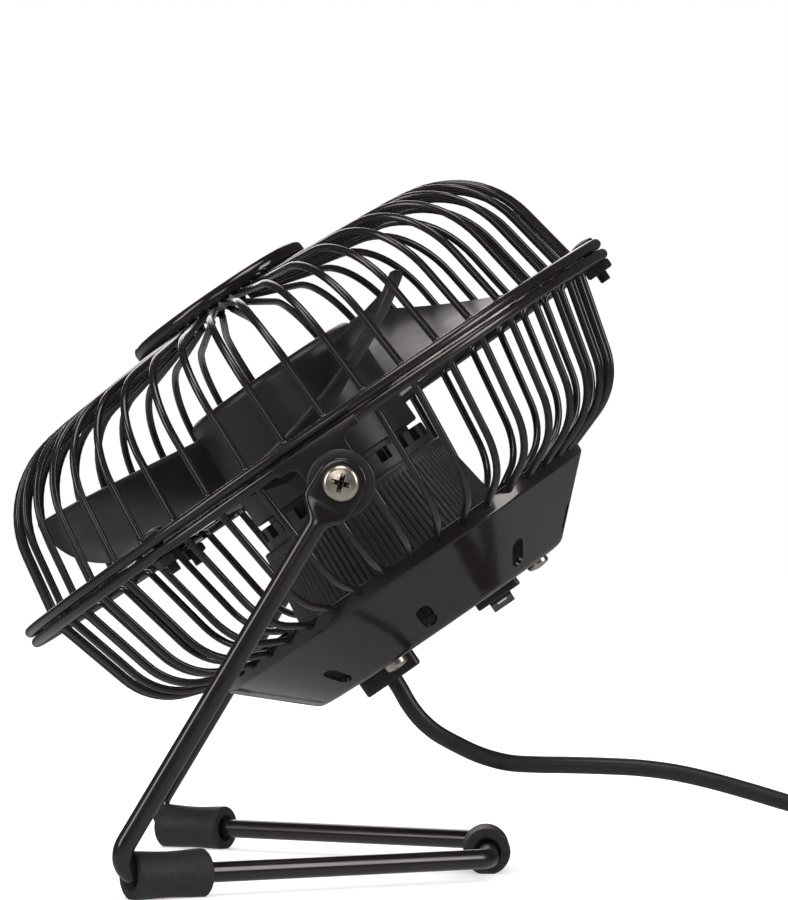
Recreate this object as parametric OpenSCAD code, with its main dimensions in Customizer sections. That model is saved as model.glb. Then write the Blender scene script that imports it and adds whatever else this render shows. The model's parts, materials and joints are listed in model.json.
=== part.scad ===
// Small all-metal desk fan: a wire cage head that tilts in a bent-rod stand.
// +Z is up, the fan faces -Y, and the tilt axis runs along X.
// Head parts are drawn in the head frame, whose Z axis points out of the front of the fan
// and whose origin is the middle of the two clamp rings.

/* [Cage] */
// Outer diameter of the two clamp rings
ring_d = 142.4; // [138:0.2:171]
// Diameter of the ring rod
ring_rod_d = 2.1; // [1.7:0.05:2.6]
// Gap between the two rings
ring_gap = 0.3; // [0.1:0.05:1]
// Diameter of the cage wires
wire_d = 1.55; // [1.2:0.05:1.9]
// Number of wires in each half of the cage
wire_count = 44; // [36:2:48]
// How far inside the ring's outer edge the wires turn forwards or back
wire_inset = 7; // [5.5:0.1:8.5]
// Lean of the front wires towards the axis
front_lean = 10; // [6:0.5:14]
// Slope of the front face
front_slope = 5.5; // [3:0.5:9]
// Distance from the rings to the middle of the front face
front_depth = 34.2; // [28:0.1:41]
// Bend radius between the side and the front face
front_bend_r = 20; // [12:0.5:22]
// Lean of the rear wires towards the axis
rear_lean = 13; // [9:0.5:16]
// Slope of the rear wires where they meet the cup
rear_slope = 19; // [14:0.5:24]
// Bend radius between the rear side and the cup
rear_bend_r = 19; // [10:0.5:20]
// Bend radius of the wire feet on the rings
foot_bend_r = 1.2; // [1:0.05:1.6]

/* [Front badge] */
// Outer diameter of the badge
badge_d = 41; // [34:0.5:50]
// Height of the badge
badge_h = 2.9; // [2.4:0.1:4]
// Sheet thickness of the badge and of the disc that the wires are welded to
badge_sheet = 0.8; // [0.6:0.05:1]

/* [Rear cup] */
// Outer diameter of the cup's rim
cup_rim_d = 88; // [80:0.5:96]
// Diameter of the cup's flat floor, inside its rounded edge
cup_floor_d = 57; // [54:0.5:62]
// Distance from the rings to the outside of the cup's floor
cup_depth = 45.1; // [43:0.1:50]
// Angle of the cup's cone, from the axis
cup_cone = 47; // [43:0.5:52]
// Radius of the edge between the cone and the floor
cup_edge_r = 3.2; // [2:0.1:5]
// Sheet thickness of the cup
cup_sheet = 0.8; // [0.6:0.05:1.2]
// Number of vent slots in the cone
vent_count = 9; // [6:1:12]
// Length of a vent slot, along the slope
vent_l = 6.4; // [4:0.1:8]
// Width of a vent slot
vent_w = 3.3; // [2:0.1:5]

/* [Clamp bolts] */
// Distance of the bolts from the axis, inside the ring's outer edge
bolt_inset = 3.4; // [3.4:0.05:4.2]
// Diameter of the bolt's thread
bolt_d = 2.5; // [2:0.1:2.5]
// Angle from the top bolt to each of the other two
bolt_step = 122; // [121:0.5:124]

/* [Pivot] */
// Distance of the tilt axis behind the rings
pivot_back = 10.2; // [9.5:0.1:13]
// Diameter of the pivot screw's thread
pivot_d = 4; // [3:0.1:4]
// Thickness of the spacer between the ear and the stand
spacer_t = 2; // [1:0.1:3]
// Diameter of the spacer
spacer_d = 13.2; // [11:0.1:15]
// Thickness of the ear plate
ear_t = 1.5; // [1:0.1:2]
// Half width of the ear's round end
ear_r = 5.4; // [4.5:0.1:6.5]

/* [Stand] */
// Height of the tilt axis above the floor
pivot_z = 79.2; // [79:0.2:96]
// Distance of the tilt axis behind the middle of the object
pivot_y = 6.35; // [0:0.05:12]
// Lean of the fan's axis from straight up, as it stands
head_lean = 34.5; // [10:0.5:80]
// Diameter of the stand's rod
rod_d = 4; // [3.5:0.1:4.4]
// Bend radius of the rod's centre line
rod_bend_r = 5; // [4:0.1:8]
// How far the front corner lies in front of the tilt axis
front_reach = 44.6; // [38:0.2:54]
// How far inside the eyes the front corners stand
front_tuck = 1.2; // [0:0.1:4]
// Half width of the crossbar, corner to centre
tail_x = 27; // [22:0.5:34]
// How far the crossbar lies behind the tilt axis
tail_reach = 29; // [25:0.2:36]
// Width of the flattened eye
eye_w = 8; // [7:0.1:9]
// Thickness of the flattened eye
eye_t = 1.6; // [1.2:0.1:2]
// Distance from the eye's centre to the round rod
eye_l = 7; // [6:0.1:9]
// Outer diameter of the rubber sleeves
sleeve_d = 9.5; // [8.8:0.1:10.5]
// Length of a front sleeve
sleeve_l = 21; // [16:0.5:25]
// Distance from the front corner to the sleeve's end
sleeve_start = 3.4; // [2.5:0.1:6]
// Length of the rear sleeve
rear_sleeve_l = 16; // [12:0.5:20]

/* [Impeller] */
// Number of blades
blade_count = 3; // [3:1:4]
// Radius of the blade tips
tip_r = 56.5; // [48:0.1:57.5]
// Angle that one blade spans
blade_span = 72; // [55:1:85]
// Depth of a blade along the axis at its tip
blade_depth = 17.4; // [12:0.1:19]
// Blade thickness at the hub
blade_root_t = 1.6; // [1.2:0.1:2.2]
// Blade thickness at the tip
blade_tip_t = 1.1; // [0.8:0.1:1.6]
// Turn of the first blade's front edge from the right-hand pivot
blade_turn = -77; // [-180:1:180]
// Outer radius of the hub
hub_r = 19.8; // [17:0.1:20]
// Distance of the hub's front face ahead of the rings
hub_front = 17.4; // [14:0.1:19]
// Distance of the hub's back edge behind the rings
hub_back = 7.4; // [4:0.1:7.6]
// Wall of the hub
hub_wall = 1.5; // [1.2:0.1:2]

/* [Motor] */
// Radius of the motor can
can_r = 12; // [12:0.1:13.5]
// Length of the motor can
can_l = 18; // [17:0.1:19]
// Diameter of the motor shaft
shaft_d = 2; // [1.5:0.1:2.3]
// Wall of the motor can
can_wall = 1; // [0.8:0.1:1.2]
// Running clearance between the shaft and its bushes
shaft_gap = 0.03; // [0.02:0.01:0.05]

/* [Motor cover] */
// Radius of the cover's front rim
cover_r = 21.9; // [21:0.1:24]
// Growth of the cover's radius per millimetre of length
cover_flare = 0.139; // [0.1:0.005:0.16]
// Wall of the cover
cover_wall = 1.5; // [1.2:0.1:2]
// Distance of the cover's front rim behind the rings
cover_front = 13.3; // [12.5:0.1:14]
// Number of windows in the collar
window_count = 24; // [12:2:28]

/* [Rocker switch] */
// Distance of the switch above the axis
switch_y = 13; // [11:0.1:13.2]
// Length of the switch flange
switch_l = 15; // [14.5:0.1:16]
// Width of the switch flange
switch_w = 10.2; // [10:0.1:12]
// Tilt of the rocker each way from level
rocker_tilt = 10; // [6:0.5:12]

/* [Cord] */
// Diameter of the cord
cord_d = 3.5; // [3:0.1:4]
// Distance of the cord's exit below the axis
cord_y = 14.3; // [12:0.1:15]
// Radius of the coil at the middle of its turns
coil_r = 19; // [18:0.5:21]

/* [Hidden] */
$fn = 48;
// A hair that cutters run past the faces they cut
eps = 0.05;
// Overlap that stands for a weld
weld = 0.12;
// Play between pieces that move or slide together
play = 0.06;
// Play between a screw and the plate that it passes through
screw_play = 0.1;
// How far a straight bar runs on into a bend, and how much thinner the bend is drawn
lap = 0.03;
shade = 0.01;

ring_r = ring_d / 2 - ring_rod_d / 2;
ring_z = (ring_gap + ring_rod_d) / 2;
ring_face = ring_z + ring_rod_d / 2;
wire_r = ring_d / 2 - wire_inset;
foot_z = ring_face + wire_d / 2 - weld;
foot_end = ring_d / 2 - 0.5;
wire_pitch = 360 / wire_count;
disc_z = front_depth;
disc_r = badge_d / 2 - badge_sheet;
wire_end_r = disc_r - 2;
cup_rim_r = cup_rim_d / 2;
lip_depth = 3.2;
cone_foot = [cup_floor_d / 2 + cup_edge_r * cos(cup_cone), cup_edge_r * (1 - sin(cup_cone)) - cup_depth];
cup_lip_z = cone_foot[1] + lip_depth + (cup_rim_r - cone_foot[0]) / tan(cup_cone);
wire_weld_z = cup_lip_z - 1.1;
vent_z = 3.9 - cup_depth;
vent_turn = -2;
vent_r = cone_foot[0] + (vent_z - cone_foot[1]) * tan(cup_cone);
bolt_r = ring_d / 2 - bolt_inset;
bolt_angles = [90, 90 + bolt_step, 90 - bolt_step];
bolt_head_r = bolt_d;
bolt_head_h = 1.2;
nut_h = 2;
nut_flats = 5;
thread_past_nut = 1.9;
tab_t = 1.1;
tab_w = 7;
tab_reach = 3.2;
ear_x = ring_d / 2 - 0.2;
ear_foot_w = 19;
ear_foot_h = 0.6;
spacer_x = ear_x + ear_t + play;
eye_x = spacer_x + spacer_t + play;
head_x = eye_x + eye_t + play;
rod_x = eye_x + eye_t / 2;
pivot_head_r = 3.5;
pivot_head_h = 2.3;
pivot_dome_r = 4.2;
recess_l = 3.8;
recess_w = 0.9;
recess_depth = 1.2;
pivot_nut_h = 3.2;
pivot_nut_flats = 7;
rod_z = sleeve_d / 2 - 0.25;
front_corner = [rod_x - front_tuck, pivot_y - front_reach, rod_z];
tail_corner = [tail_x, pivot_y + tail_reach, rod_z];
eye_centre = [rod_x, pivot_y, pivot_z];
cover_end = cup_depth - cup_sheet;
cover_end_r = cover_r + cover_flare * (cover_end - cover_front);
cover_screw_r = 23.4;
cover_screw_d = 2.6;
cover_screw_head_r = 2.4;
cover_screw_head_h = 1.8;
cover_screw_dome_r = 2.7;
cover_screw_angles = [90, 210, 330];
cover_flange_r = 27.2;
collar_r = hub_r + 0.4;
collar_front = hub_back + 1;
can_front = cover_front + cover_wall;
can_back = can_front + can_l;
cap_t = 1.8;
boss_r = 3.5;
shaft_r = shaft_d / 2;
shaft_front = hub_front - hub_wall - 1;
bush_r = 2.6;
bush_l = 3;
core_r = 8.4;
magnet_in = 8.9;
core_l = 9;
slot_r = 2.3;
slot_at = 5.3;
slot_w = 1.6;
turn_h = 1;
comm_r = 2.4;
comm_l = 3.4;
core_z = -(can_front + can_back) / 2 - core_l / 2 + 0.8;
tag_end = -can_back - cap_t - 3;
motor_screw_r = 8;
switch_body_l = 12.8;
switch_body_w = 8.6;
switch_deep = 8.6;
switch_flange_t = 2;
rocker_l = 10.4;
rocker_w = 5;
rocker_pin_r = 0.8;
rocker_axis = cup_depth + 0.3;
block_x = 9;
block_y = 12.9;
block_h = 3.9;
block_peg_y = 4.9;
block_peg_r = 1.1;
cord_exit = cup_depth + block_h;
grip_r = 3.2;
grip_l = 3;
lead_d = 1.2;
terminal_x = 3.5;
terminal_t = 0.8;
terminal_w = 3.2;
terminal_low = 5.3;
terminal_top = 12.5;

// The cord's centre line from the block to the coil, with Y counted from the tilt axis
cord_route = [
  [0, 11.5, 37.0], [0, 13.1, 34.2], [0, 15.4, 31.2], [0, 18.6, 28.4], [0, 22.8, 26.0],
  [0, 27.8, 23.7], [0, 33.4, 22.2], [0, 39.5, 21.8], [0, 46.0, 21.7], [0, 53.0, 21.5],
  [0, 60.5, 21.1], [0, 68.0, 20.1], [0, 75.5, 18.4], [0, 83.0, 16.3], [0, 90.0, 14.2],
  [0, 96.5, 12.4], [0, 102.5, 11.0], [0, 108.0, 10.1], [0, 113.0, 9.7]];
coil_centre = [22.5, pivot_y + 118];
coil_low = 0.9;
coil_side = 3 * cord_d;
coil_outer_r = coil_r + cord_d;
// The cord's centre line from the coil to the plug, with Y counted from its last straight
tail_route = [[29, -0.5, 2.7], [32.5, 0, 2.7], [36, 0, 3], [39, 0, 3.5], [42, 0, 3.8]];
tail_y = coil_centre[1] + coil_outer_r;
plug_x = 42;
plug_z = 3.8;
plug_w = 15.4;
relief_l = 6;
grip_body_l = 18;
shell_l = 12;
shell_w = 12;
shell_h = 4.5;
shell_t = 0.3;
tie_w = 6;
tie_t = 0.8;
tie_gap = 0.05;
cord_split_r = 64.4;
cord_split_gap = 0.4;

// Places a piece drawn in the head frame
module in_head() {
  translate([0, pivot_y, pivot_z])
    rotate([head_lean, 0, 0])
      translate([0, 0, pivot_back])
        children();
}

// Places a piece at each pivot, drawn for the right-hand side with its axis along X
module at_both_sides() {
  children();
  mirror([1, 0, 0])
    children();
}

function unit(v) = v / norm(v);
function turn_between(a, b, c) = acos(min(1, max(-1, unit(b - a) * unit(c - b))));
function cut_back(a, b, c, r) = r * tan(turn_between(a, b, c) / 2);

// A straight round bar between two points
module bar(a, b, d) {
  v = b - a;
  translate(a)
    rotate([0, acos(v[2] / norm(v)), atan2(v[1], v[0])])
      cylinder(d = d, h = norm(v));
}

// A round bend at b, on the way from a to c
module bend(a, b, c, r, d) {
  way = unit(b - a);
  side = unit(c - b);
  inward = unit(side - way * (side * way));
  start = b - way * cut_back(a, b, c, r);
  centre = start + inward * r;
  up = cross(-inward, way);
  multmatrix([[-inward[0], way[0], up[0], centre[0]],
              [-inward[1], way[1], up[1], centre[1]],
              [-inward[2], way[2], up[2], centre[2]],
              [0, 0, 0, 1]])
    rotate_extrude(angle = turn_between(a, b, c))
      translate([r, 0])
        circle(d = d);
}

// A bent bar through points, with radii[i] the bend radius at point i
module bent_bar(points, radii, d) {
  last = len(points) - 1;
  for (i = [0:last - 1]) {
    way = unit(points[i + 1] - points[i]);
    head = i == 0 ? 0 : cut_back(points[i - 1], points[i], points[i + 1], radii[i]);
    tail = i == last - 1 ? 0 : cut_back(points[i], points[i + 1], points[i + 2], radii[i + 1]);
    start_lap = i == 0 ? 0 : lap;
    end_lap = i == last - 1 ? 0 : lap;
    bar(points[i] + way * (head - start_lap), points[i + 1] - way * (tail - end_lap), d);
  }
  for (i = [1:last - 1])
    bend(points[i - 1], points[i], points[i + 1], radii[i], d - shade);
}

// Where a side that leans inwards from (r0, z0) meets a face that slopes down from (r1, z1)
function side_meets_face(r0, z0, lean, r1, z1, slope) =
  let (t1 = tan(lean), t2 = tan(slope),
       z = (z1 - (r0 + z0 * t1 - r1) * t2) / (1 - t1 * t2))
  [r0 - (z - z0) * t1, z];

function on_plane(rz, sign) = [rz[0], 0, sign * rz[1]];

// One half of the cage wires: every wire is a separate solid
module wires(sign, lean, end, slope, bend_r) {
  corner = side_meets_face(wire_r, foot_z, lean, end[0], end[1], slope);
  path = [for (p = [[foot_end, foot_z], [wire_r, foot_z], corner, end]) on_plane(p, sign)];
  for (i = [0:wire_count - 1])
    rotate([0, 0, (i + 0.5) * wire_pitch])
      union()
        bent_bar(path, [0, foot_bend_r, bend_r, 0], wire_d);
}

module ring(z) {
  translate([0, 0, z])
    rotate_extrude()
      translate([ring_r, 0])
        circle(d = ring_rod_d);
}

module slot(l, w) {
  square([l - w, w], center = true);
  for (s = [-1, 1])
    translate([s * (l - w) / 2, 0])
      circle(d = w);
}

function arc(centre, r, from, to, steps) =
  [for (i = [0:steps])
    let (a = from + (to - from) * i / steps)
    centre + r * [cos(a), sin(a)]];

// ---- front half of the cage ----

module front_ring() {
  color("#1b1a1a")
    in_head()
      ring(ring_z);
}

module front_wires() {
  end_z = disc_z - wire_d / 2 + weld;
  color("#1b1a1a")
    in_head()
      wires(1, front_lean, [wire_end_r, end_z], front_slope, front_bend_r);
}

// The disc that the front wires are welded to
module front_disc() {
  color("#1b1a1a")
    in_head()
      translate([0, 0, disc_z])
        cylinder(r = disc_r, h = badge_sheet);
}

// A shallow cap pressed over the disc
module front_badge() {
  r = badge_d / 2;
  round_r = 1.6;
  top = disc_z + badge_h;
  outside = concat([[0, top]], arc([r - round_r, top - round_r], round_r, 90, 0, 6), [[r, disc_z]]);
  inside = [[r - badge_sheet, disc_z],
            [r - badge_sheet, top - round_r],
            [r - round_r - 0.2, top - badge_sheet],
            [0, top - badge_sheet]];
  color("#1b1a1a")
    in_head()
      rotate_extrude($fn = 96)
        polygon(concat(outside, inside));
}

// ---- rear half of the cage ----

module rear_ring() {
  color("#1b1a1a")
    in_head()
      ring(-ring_z);
}

// The cup's outline, moved inwards by t
function cup_line(t) =
  let (centre = [cup_floor_d / 2, cup_edge_r - cup_depth],
       edge = arc(centre, cup_edge_r - t, -cup_cone, -90, 5),
       rim = [cup_rim_r - t, edge[0][1] + (cup_rim_r - t - edge[0][0]) / tan(cup_cone)])
  concat([[cup_rim_r - t, cup_lip_z], rim], edge, [[0, t - cup_depth]]);

module rear_wires() {
  end = [cup_rim_r - 0.3, -wire_weld_z];
  color("#1b1a1a")
    in_head()
      wires(-1, rear_lean, end, rear_slope, rear_bend_r);
}

function reversed(list) = [for (i = [len(list) - 1:-1:0]) list[i]];

module rear_cup() {
  color("#201f1f")
    in_head()
      difference() {
        rotate_extrude($fn = 96)
          polygon(concat(cup_line(0), reversed(cup_line(cup_sheet))));
        for (i = [0:vent_count - 1])
          rotate([0, 0, i * 360 / vent_count + vent_turn])
            translate([vent_r, 0, vent_z])
              rotate([0, 90 + cup_cone, 0])
                translate([0, 0, -2])
                  linear_extrude(4)
                    slot(vent_l, vent_w);
        translate([0, 0, -cup_depth - 1]) {
          for (a = cover_screw_angles)
            rotate([0, 0, a])
              translate([cover_screw_r, 0, 0])
                cylinder(d = cover_screw_d + 2 * screw_play, h = 3);
          translate([0, switch_y, 1])
            cube([switch_body_l + 2 * play, switch_body_w + 2 * play, 4], center = true);
          translate([0, -cord_y, 0])
            cylinder(r = cord_d / 2 + 0.2, h = 3);
          for (s = [-1, 1])
            translate([0, s * block_peg_y - cord_y, 0])
              cylinder(r = block_peg_r + play, h = 3);
        }
      }
}
// ---- clamp between the two halves ----

module clamp_tabs(z) {
  inner = bolt_r - tab_reach;
  outer = ring_r - sqrt(pow(ring_rod_d / 2, 2) - pow(ring_rod_d / 2 - tab_t / 2, 2)) + weld;
  for (a = bolt_angles)
    rotate([0, 0, a])
      difference() {
        translate([inner, -tab_w / 2, z])
          cube([outer - inner, tab_w, tab_t]);
        translate([bolt_r, 0, z - 1])
          cylinder(d = bolt_d + 2 * screw_play, h = tab_t + 2);
      }
}

module front_clamp_tabs() {
  color("#1b1a1a")
    in_head()
      clamp_tabs(ring_face - tab_t);
}

module rear_clamp_tabs() {
  color("#1b1a1a")
    in_head()
      clamp_tabs(-ring_face);
}

module clamp_bolts() {
  shank = 2 * ring_face + nut_h + thread_past_nut;
  color("#2a2928")
    in_head()
      for (a = bolt_angles)
        rotate([0, 0, a])
          translate([bolt_r, 0, ring_face])
            union() {
              intersection() {
                cylinder(r = bolt_head_r, h = bolt_head_h);
                translate([0, 0, bolt_head_h - 3.4])
                  sphere(r = 3.4);
              }
              translate([0, 0, -shank])
                cylinder(d = bolt_d, h = shank + eps);
            }
}

module hex_nut(flats, bore, h) {
  difference() {
    cylinder(d = flats / cos(30), h = h, $fn = 6);
    translate([0, 0, -1])
      cylinder(d = bore, h = h + 2);
  }
}

module clamp_nuts() {
  color("#2a2928")
    in_head()
      for (a = bolt_angles)
        rotate([0, 0, a])
          translate([bolt_r, 0, -ring_face - nut_h])
            rotate([0, 0, 30])
              hex_nut(nut_flats, bolt_d, nut_h);
}

// ---- tilt pivots ----

// Moves to the right-hand pivot in the head frame, with Z out along the tilt axis
module at_pivot(x) {
  translate([x, 0, -pivot_back])
    rotate([0, 90, 0])
      children();
}

// Ear plate welded to the side of the rear ring
module ear_plate() {
  difference() {
    union() {
      at_pivot(ear_x)
        cylinder(r = ear_r, h = ear_t);
      translate([ear_x, -ear_r, -pivot_back])
        cube([ear_t, 2 * ear_r, pivot_back - 0.4]);
      translate([ear_x, -ear_foot_w / 2, -ring_face - ear_foot_h])
        cube([ear_t, ear_foot_w, ring_face + 0.2]);
    }
    at_pivot(ear_x - 1)
      cylinder(d = pivot_d + 2 * screw_play, h = ear_t + 2);
  }
}

module right_ear() {
  color("#1b1a1a")
    in_head()
      ear_plate();
}

module left_ear() {
  color("#1b1a1a")
    in_head()
      mirror([1, 0, 0])
        ear_plate();
}

module pivot_spacers() {
  color("#161616")
    in_head()
      at_both_sides()
        at_pivot(spacer_x)
          difference() {
            cylinder(d = spacer_d, h = spacer_t);
            translate([0, 0, -1])
              cylinder(d = pivot_d + 2 * screw_play, h = spacer_t + 2);
          }
}

module pivot_screws() {
  shank = head_x - ear_x + pivot_nut_h + 0.4;
  color("#c9c5bd")
    in_head()
      at_both_sides()
        at_pivot(head_x)
          difference() {
            union() {
              intersection() {
                cylinder(r = pivot_head_r, h = pivot_head_h);
                translate([0, 0, pivot_head_h - pivot_dome_r])
                  sphere(r = pivot_dome_r);
              }
              translate([0, 0, -shank])
                cylinder(d = pivot_d, h = shank + eps);
            }
            for (a = [45, 135])
              rotate([0, 0, a])
                translate([0, 0, pivot_head_h])
                  cube([recess_l, recess_w, 2 * recess_depth], center = true);
          }
}

module pivot_nuts() {
  color("#8d8a85")
    in_head()
      at_both_sides()
        at_pivot(ear_x - pivot_nut_h)
          hex_nut(pivot_nut_flats, pivot_d, pivot_nut_h);
}

// ---- stand ----

function arm_way() = unit(front_corner - eye_centre);
function arm_start() = eye_centre + arm_way() * eye_l;
function stand_points() =
  [arm_start(), front_corner, tail_corner,
   [-tail_corner[0], tail_corner[1], rod_z],
   [-front_corner[0], front_corner[1], rod_z],
   [-arm_start()[0], arm_start()[1], arm_start()[2]]];

module stand_bar(d) {
  r = rod_bend_r;
  bent_bar(stand_points(), [0, r, r, r, r, 0], d);
}

// The flattened end of the rod, with the hole for the pivot screw
module eye() {
  arm_angle = atan2(front_reach, pivot_z - rod_z);
  neck = 2.4;
  translate([eye_x, pivot_y, pivot_z])
    rotate([-arm_angle, 0, 0])
      difference() {
        union() {
          rotate([0, 90, 0])
            cylinder(d = eye_w, h = eye_t);
          rotate([90, 0, 90])
            linear_extrude(eye_t)
              polygon([[-eye_w / 2, 0],
                       [-eye_w / 2, 2 - eye_l],
                       [-rod_d / 2 + 0.6, -eye_l - neck],
                       [rod_d / 2 - 0.6, -eye_l - neck],
                       [eye_w / 2, 2 - eye_l],
                       [eye_w / 2, 0]]);
        }
        translate([-1, 0, 0])
          rotate([0, 90, 0])
            cylinder(d = pivot_d + 2 * play, h = eye_t + 2);
      }
}

module stand_rod() {
  color("#1d1c1c")
    union() {
      stand_bar(rod_d);
      at_both_sides()
        eye();
    }
}

// A rubber sleeve on the front end of a leg, flat where it stands
module front_sleeve() {
  way = unit(tail_corner - front_corner);
  from = front_corner + way * sleeve_start;
  difference() {
    bar(from, from + way * sleeve_l, sleeve_d);
    stand_bar(rod_d + 2 * play);
    translate([0, 0, -5])
      cube([400, 400, 10], center = true);
  }
}

module right_front_foot() {
  color("#262626")
    front_sleeve();
}

module left_front_foot() {
  color("#262626")
    mirror([1, 0, 0])
      front_sleeve();
}

module rear_foot() {
  middle = [0, tail_corner[1], rod_z];
  reach = [rear_sleeve_l / 2, 0, 0];
  color("#262626")
    difference() {
      bar(middle - reach, middle + reach, sleeve_d);
      bar(middle - 2 * reach, middle + 2 * reach, rod_d + 2 * play);
      translate([0, 0, -5])
        cube([400, 400, 10], center = true);
    }
}

// ---- impeller ----

// Depth of the blade's mean surface behind its front edge, from 0 to 1 across the blade
function blade_drop(u) = 1 - pow(1 - u, 2);
// A point on the blade: t runs from root to tip, u from front edge to back edge
function blade_point(t, u, side) =
  let (root = hub_r - 0.8,
       r = root + (tip_r - root) * t,
       corner = 9 * pow(max(0, t - 0.7) / 0.3, 2),
       a = blade_turn - corner - u * (blade_span - 1.6 * corner),
       front = hub_front - 3.6 + 4.8 * t,
       thick = blade_root_t + (blade_tip_t - blade_root_t) * t,
       z = front - blade_depth * blade_drop(u) * (0.95 + 0.05 * t) + side * thick / 2)
  [r * cos(a), r * sin(a), z];
blade_steps_t = 9;
blade_steps_u = 14;
function blade_index(side, i, j) = side * (blade_steps_t + 1) * (blade_steps_u + 1)
  + i * (blade_steps_u + 1) + j;
function quad(a, b, c, d) = [[a, c, b], [a, d, c]];

module blade() {
  nt = blade_steps_t;
  nu = blade_steps_u;
  points = [for (side = [1, -1], i = [0:nt], j = [0:nu]) blade_point(i / nt, j / nu, side)];
  top = [for (i = [0:nt - 1], j = [0:nu - 1], f = quad(
    blade_index(0, i, j), blade_index(0, i, j + 1),
    blade_index(0, i + 1, j + 1), blade_index(0, i + 1, j))) f];
  under = [for (i = [0:nt - 1], j = [0:nu - 1], f = quad(
    blade_index(1, i, j), blade_index(1, i + 1, j),
    blade_index(1, i + 1, j + 1), blade_index(1, i, j + 1))) f];
  ends = [for (i = [0, nt], j = [0:nu - 1], f = i == 0
    ? quad(blade_index(0, i, j), blade_index(1, i, j),
           blade_index(1, i, j + 1), blade_index(0, i, j + 1))
    : quad(blade_index(0, i, j), blade_index(0, i, j + 1),
           blade_index(1, i, j + 1), blade_index(1, i, j))) f];
  edges = [for (j = [0, nu], i = [0:nt - 1], f = j == 0
    ? quad(blade_index(0, i, j), blade_index(0, i + 1, j),
           blade_index(1, i + 1, j), blade_index(1, i, j))
    : quad(blade_index(0, i, j), blade_index(1, i, j),
           blade_index(1, i + 1, j), blade_index(0, i + 1, j))) f];
  polyhedron(points, concat(top, under, ends, edges));
}

module impeller() {
  round_r = 2;
  bell = concat([[0, hub_front]],
                arc([hub_r - round_r, hub_front - round_r], round_r, 90, 0, 5),
                [[hub_r, -hub_back],
                 [hub_r - hub_wall, -hub_back],
                 [hub_r - hub_wall, hub_front - hub_wall],
                 [0, hub_front - hub_wall]]);
  color("#1f1e20")
    in_head()
      difference() {
        union() {
          rotate_extrude($fn = 96)
            polygon(bell);
          translate([0, 0, -4])
            cylinder(r = 3.6, h = hub_front - hub_wall + 4.5);
          for (i = [0:2])
            rotate([0, 0, i * 120])
              translate([0, -0.6, 6])
                cube([hub_r - 0.5, 1.2, hub_front - hub_wall - 5.5]);
          for (i = [0:blade_count - 1])
            rotate([0, 0, i * 360 / blade_count])
              blade();
        }
        translate([0, 0, -5])
          cylinder(r = shaft_r, h = shaft_front + 5);
      }
}

module motor_shaft() {
  back = can_back + cap_t + 0.8;
  color("#b9b9b9")
    in_head()
      translate([0, 0, -back])
        cylinder(r = shaft_r, h = back + shaft_front);
}

// ---- motor ----

module tube_part(r, bore, h) {
  difference() {
    cylinder(r = r, h = h);
    translate([0, 0, -1])
      cylinder(r = bore, h = h + 2);
  }
}

module motor_can() {
  color("#a9a9a6")
    in_head()
      difference() {
        union() {
          translate([0, 0, -can_back])
            cylinder(r = can_r, h = can_l);
          translate([0, 0, -can_front - eps])
            cylinder(r = boss_r, h = cover_wall + eps);
        }
        translate([0, 0, -can_back - 1])
          cylinder(r = can_r - can_wall, h = can_l - can_wall + 1);
        translate([0, 0, -can_front - can_wall - 1])
          cylinder(r = bush_r, h = cover_wall + can_wall + 2);
        for (s = [-1, 1])
          translate([s * motor_screw_r, 0, -can_front - 2])
            cylinder(d = 1.6, h = 3);
      }
}

module front_bush() {
  color("#b08d57")
    in_head()
      translate([0, 0, -cover_front - bush_l])
        tube_part(bush_r, shaft_r + shaft_gap, bush_l);
}

module rear_bush() {
  color("#b08d57")
    in_head()
      translate([0, 0, -can_back - cap_t])
        tube_part(bush_r, shaft_r + shaft_gap, bush_l);
}

module motor_magnets() {
  color("#4a4a4c")
    in_head()
      for (a = [0, 180])
        rotate([0, 0, a + 22])
          translate([0, 0, -can_back + 2])
            rotate_extrude(angle = 136)
              translate([magnet_in, 0])
                square([can_r - can_wall - magnet_in, can_l - 4]);
}

// Three-pole laminated core: a disc with three round winding slots open at its rim
module armature_core() {
  color("#6f7072")
    in_head()
      translate([0, 0, core_z])
        difference() {
          cylinder(r = core_r, h = core_l);
          translate([0, 0, -1])
            cylinder(r = shaft_r, h = core_l + 2);
          for (a = [60, 180, 300])
            rotate([0, 0, a])
              union() {
                translate([slot_at, 0, -1])
                  cylinder(r = slot_r, h = core_l + 2);
                translate([slot_at, -slot_w / 2, -1])
                  cube([core_r, slot_w, core_l + 2]);
              }
        }
}

// The end turns of the three coils, above and below the core
module armature_windings() {
  color("#b4622d")
    in_head()
      for (a = [0, 120, 240])
        for (z = [core_z - turn_h, core_z + core_l])
          rotate([0, 0, a])
            translate([3.4, -2.7, z])
              cube([3.4, 5.4, turn_h]);
}

module commutator() {
  color("#b87333")
    in_head()
      translate([0, 0, core_z - comm_l])
        tube_part(comm_r, shaft_r, comm_l);
}

// The moulded cap that closes the can and holds the rear bush
module motor_end_cap() {
  color("#e4e0d4")
    in_head()
      difference() {
        union() {
          translate([0, 0, -can_back - cap_t])
            cylinder(r = can_r - 0.2, h = cap_t);
          translate([0, 0, -can_back - eps])
            tube_part(can_r - can_wall - play, can_r - can_wall - 1.4, 1.6);
        }
        translate([0, 0, -can_back - cap_t - 1])
          cylinder(r = bush_r, h = cap_t + 2);
        for (s = [-1, 1])
          translate([s * 9, 0, -can_back])
            cube([0.9, 2.3, 9], center = true);
      }
}

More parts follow.
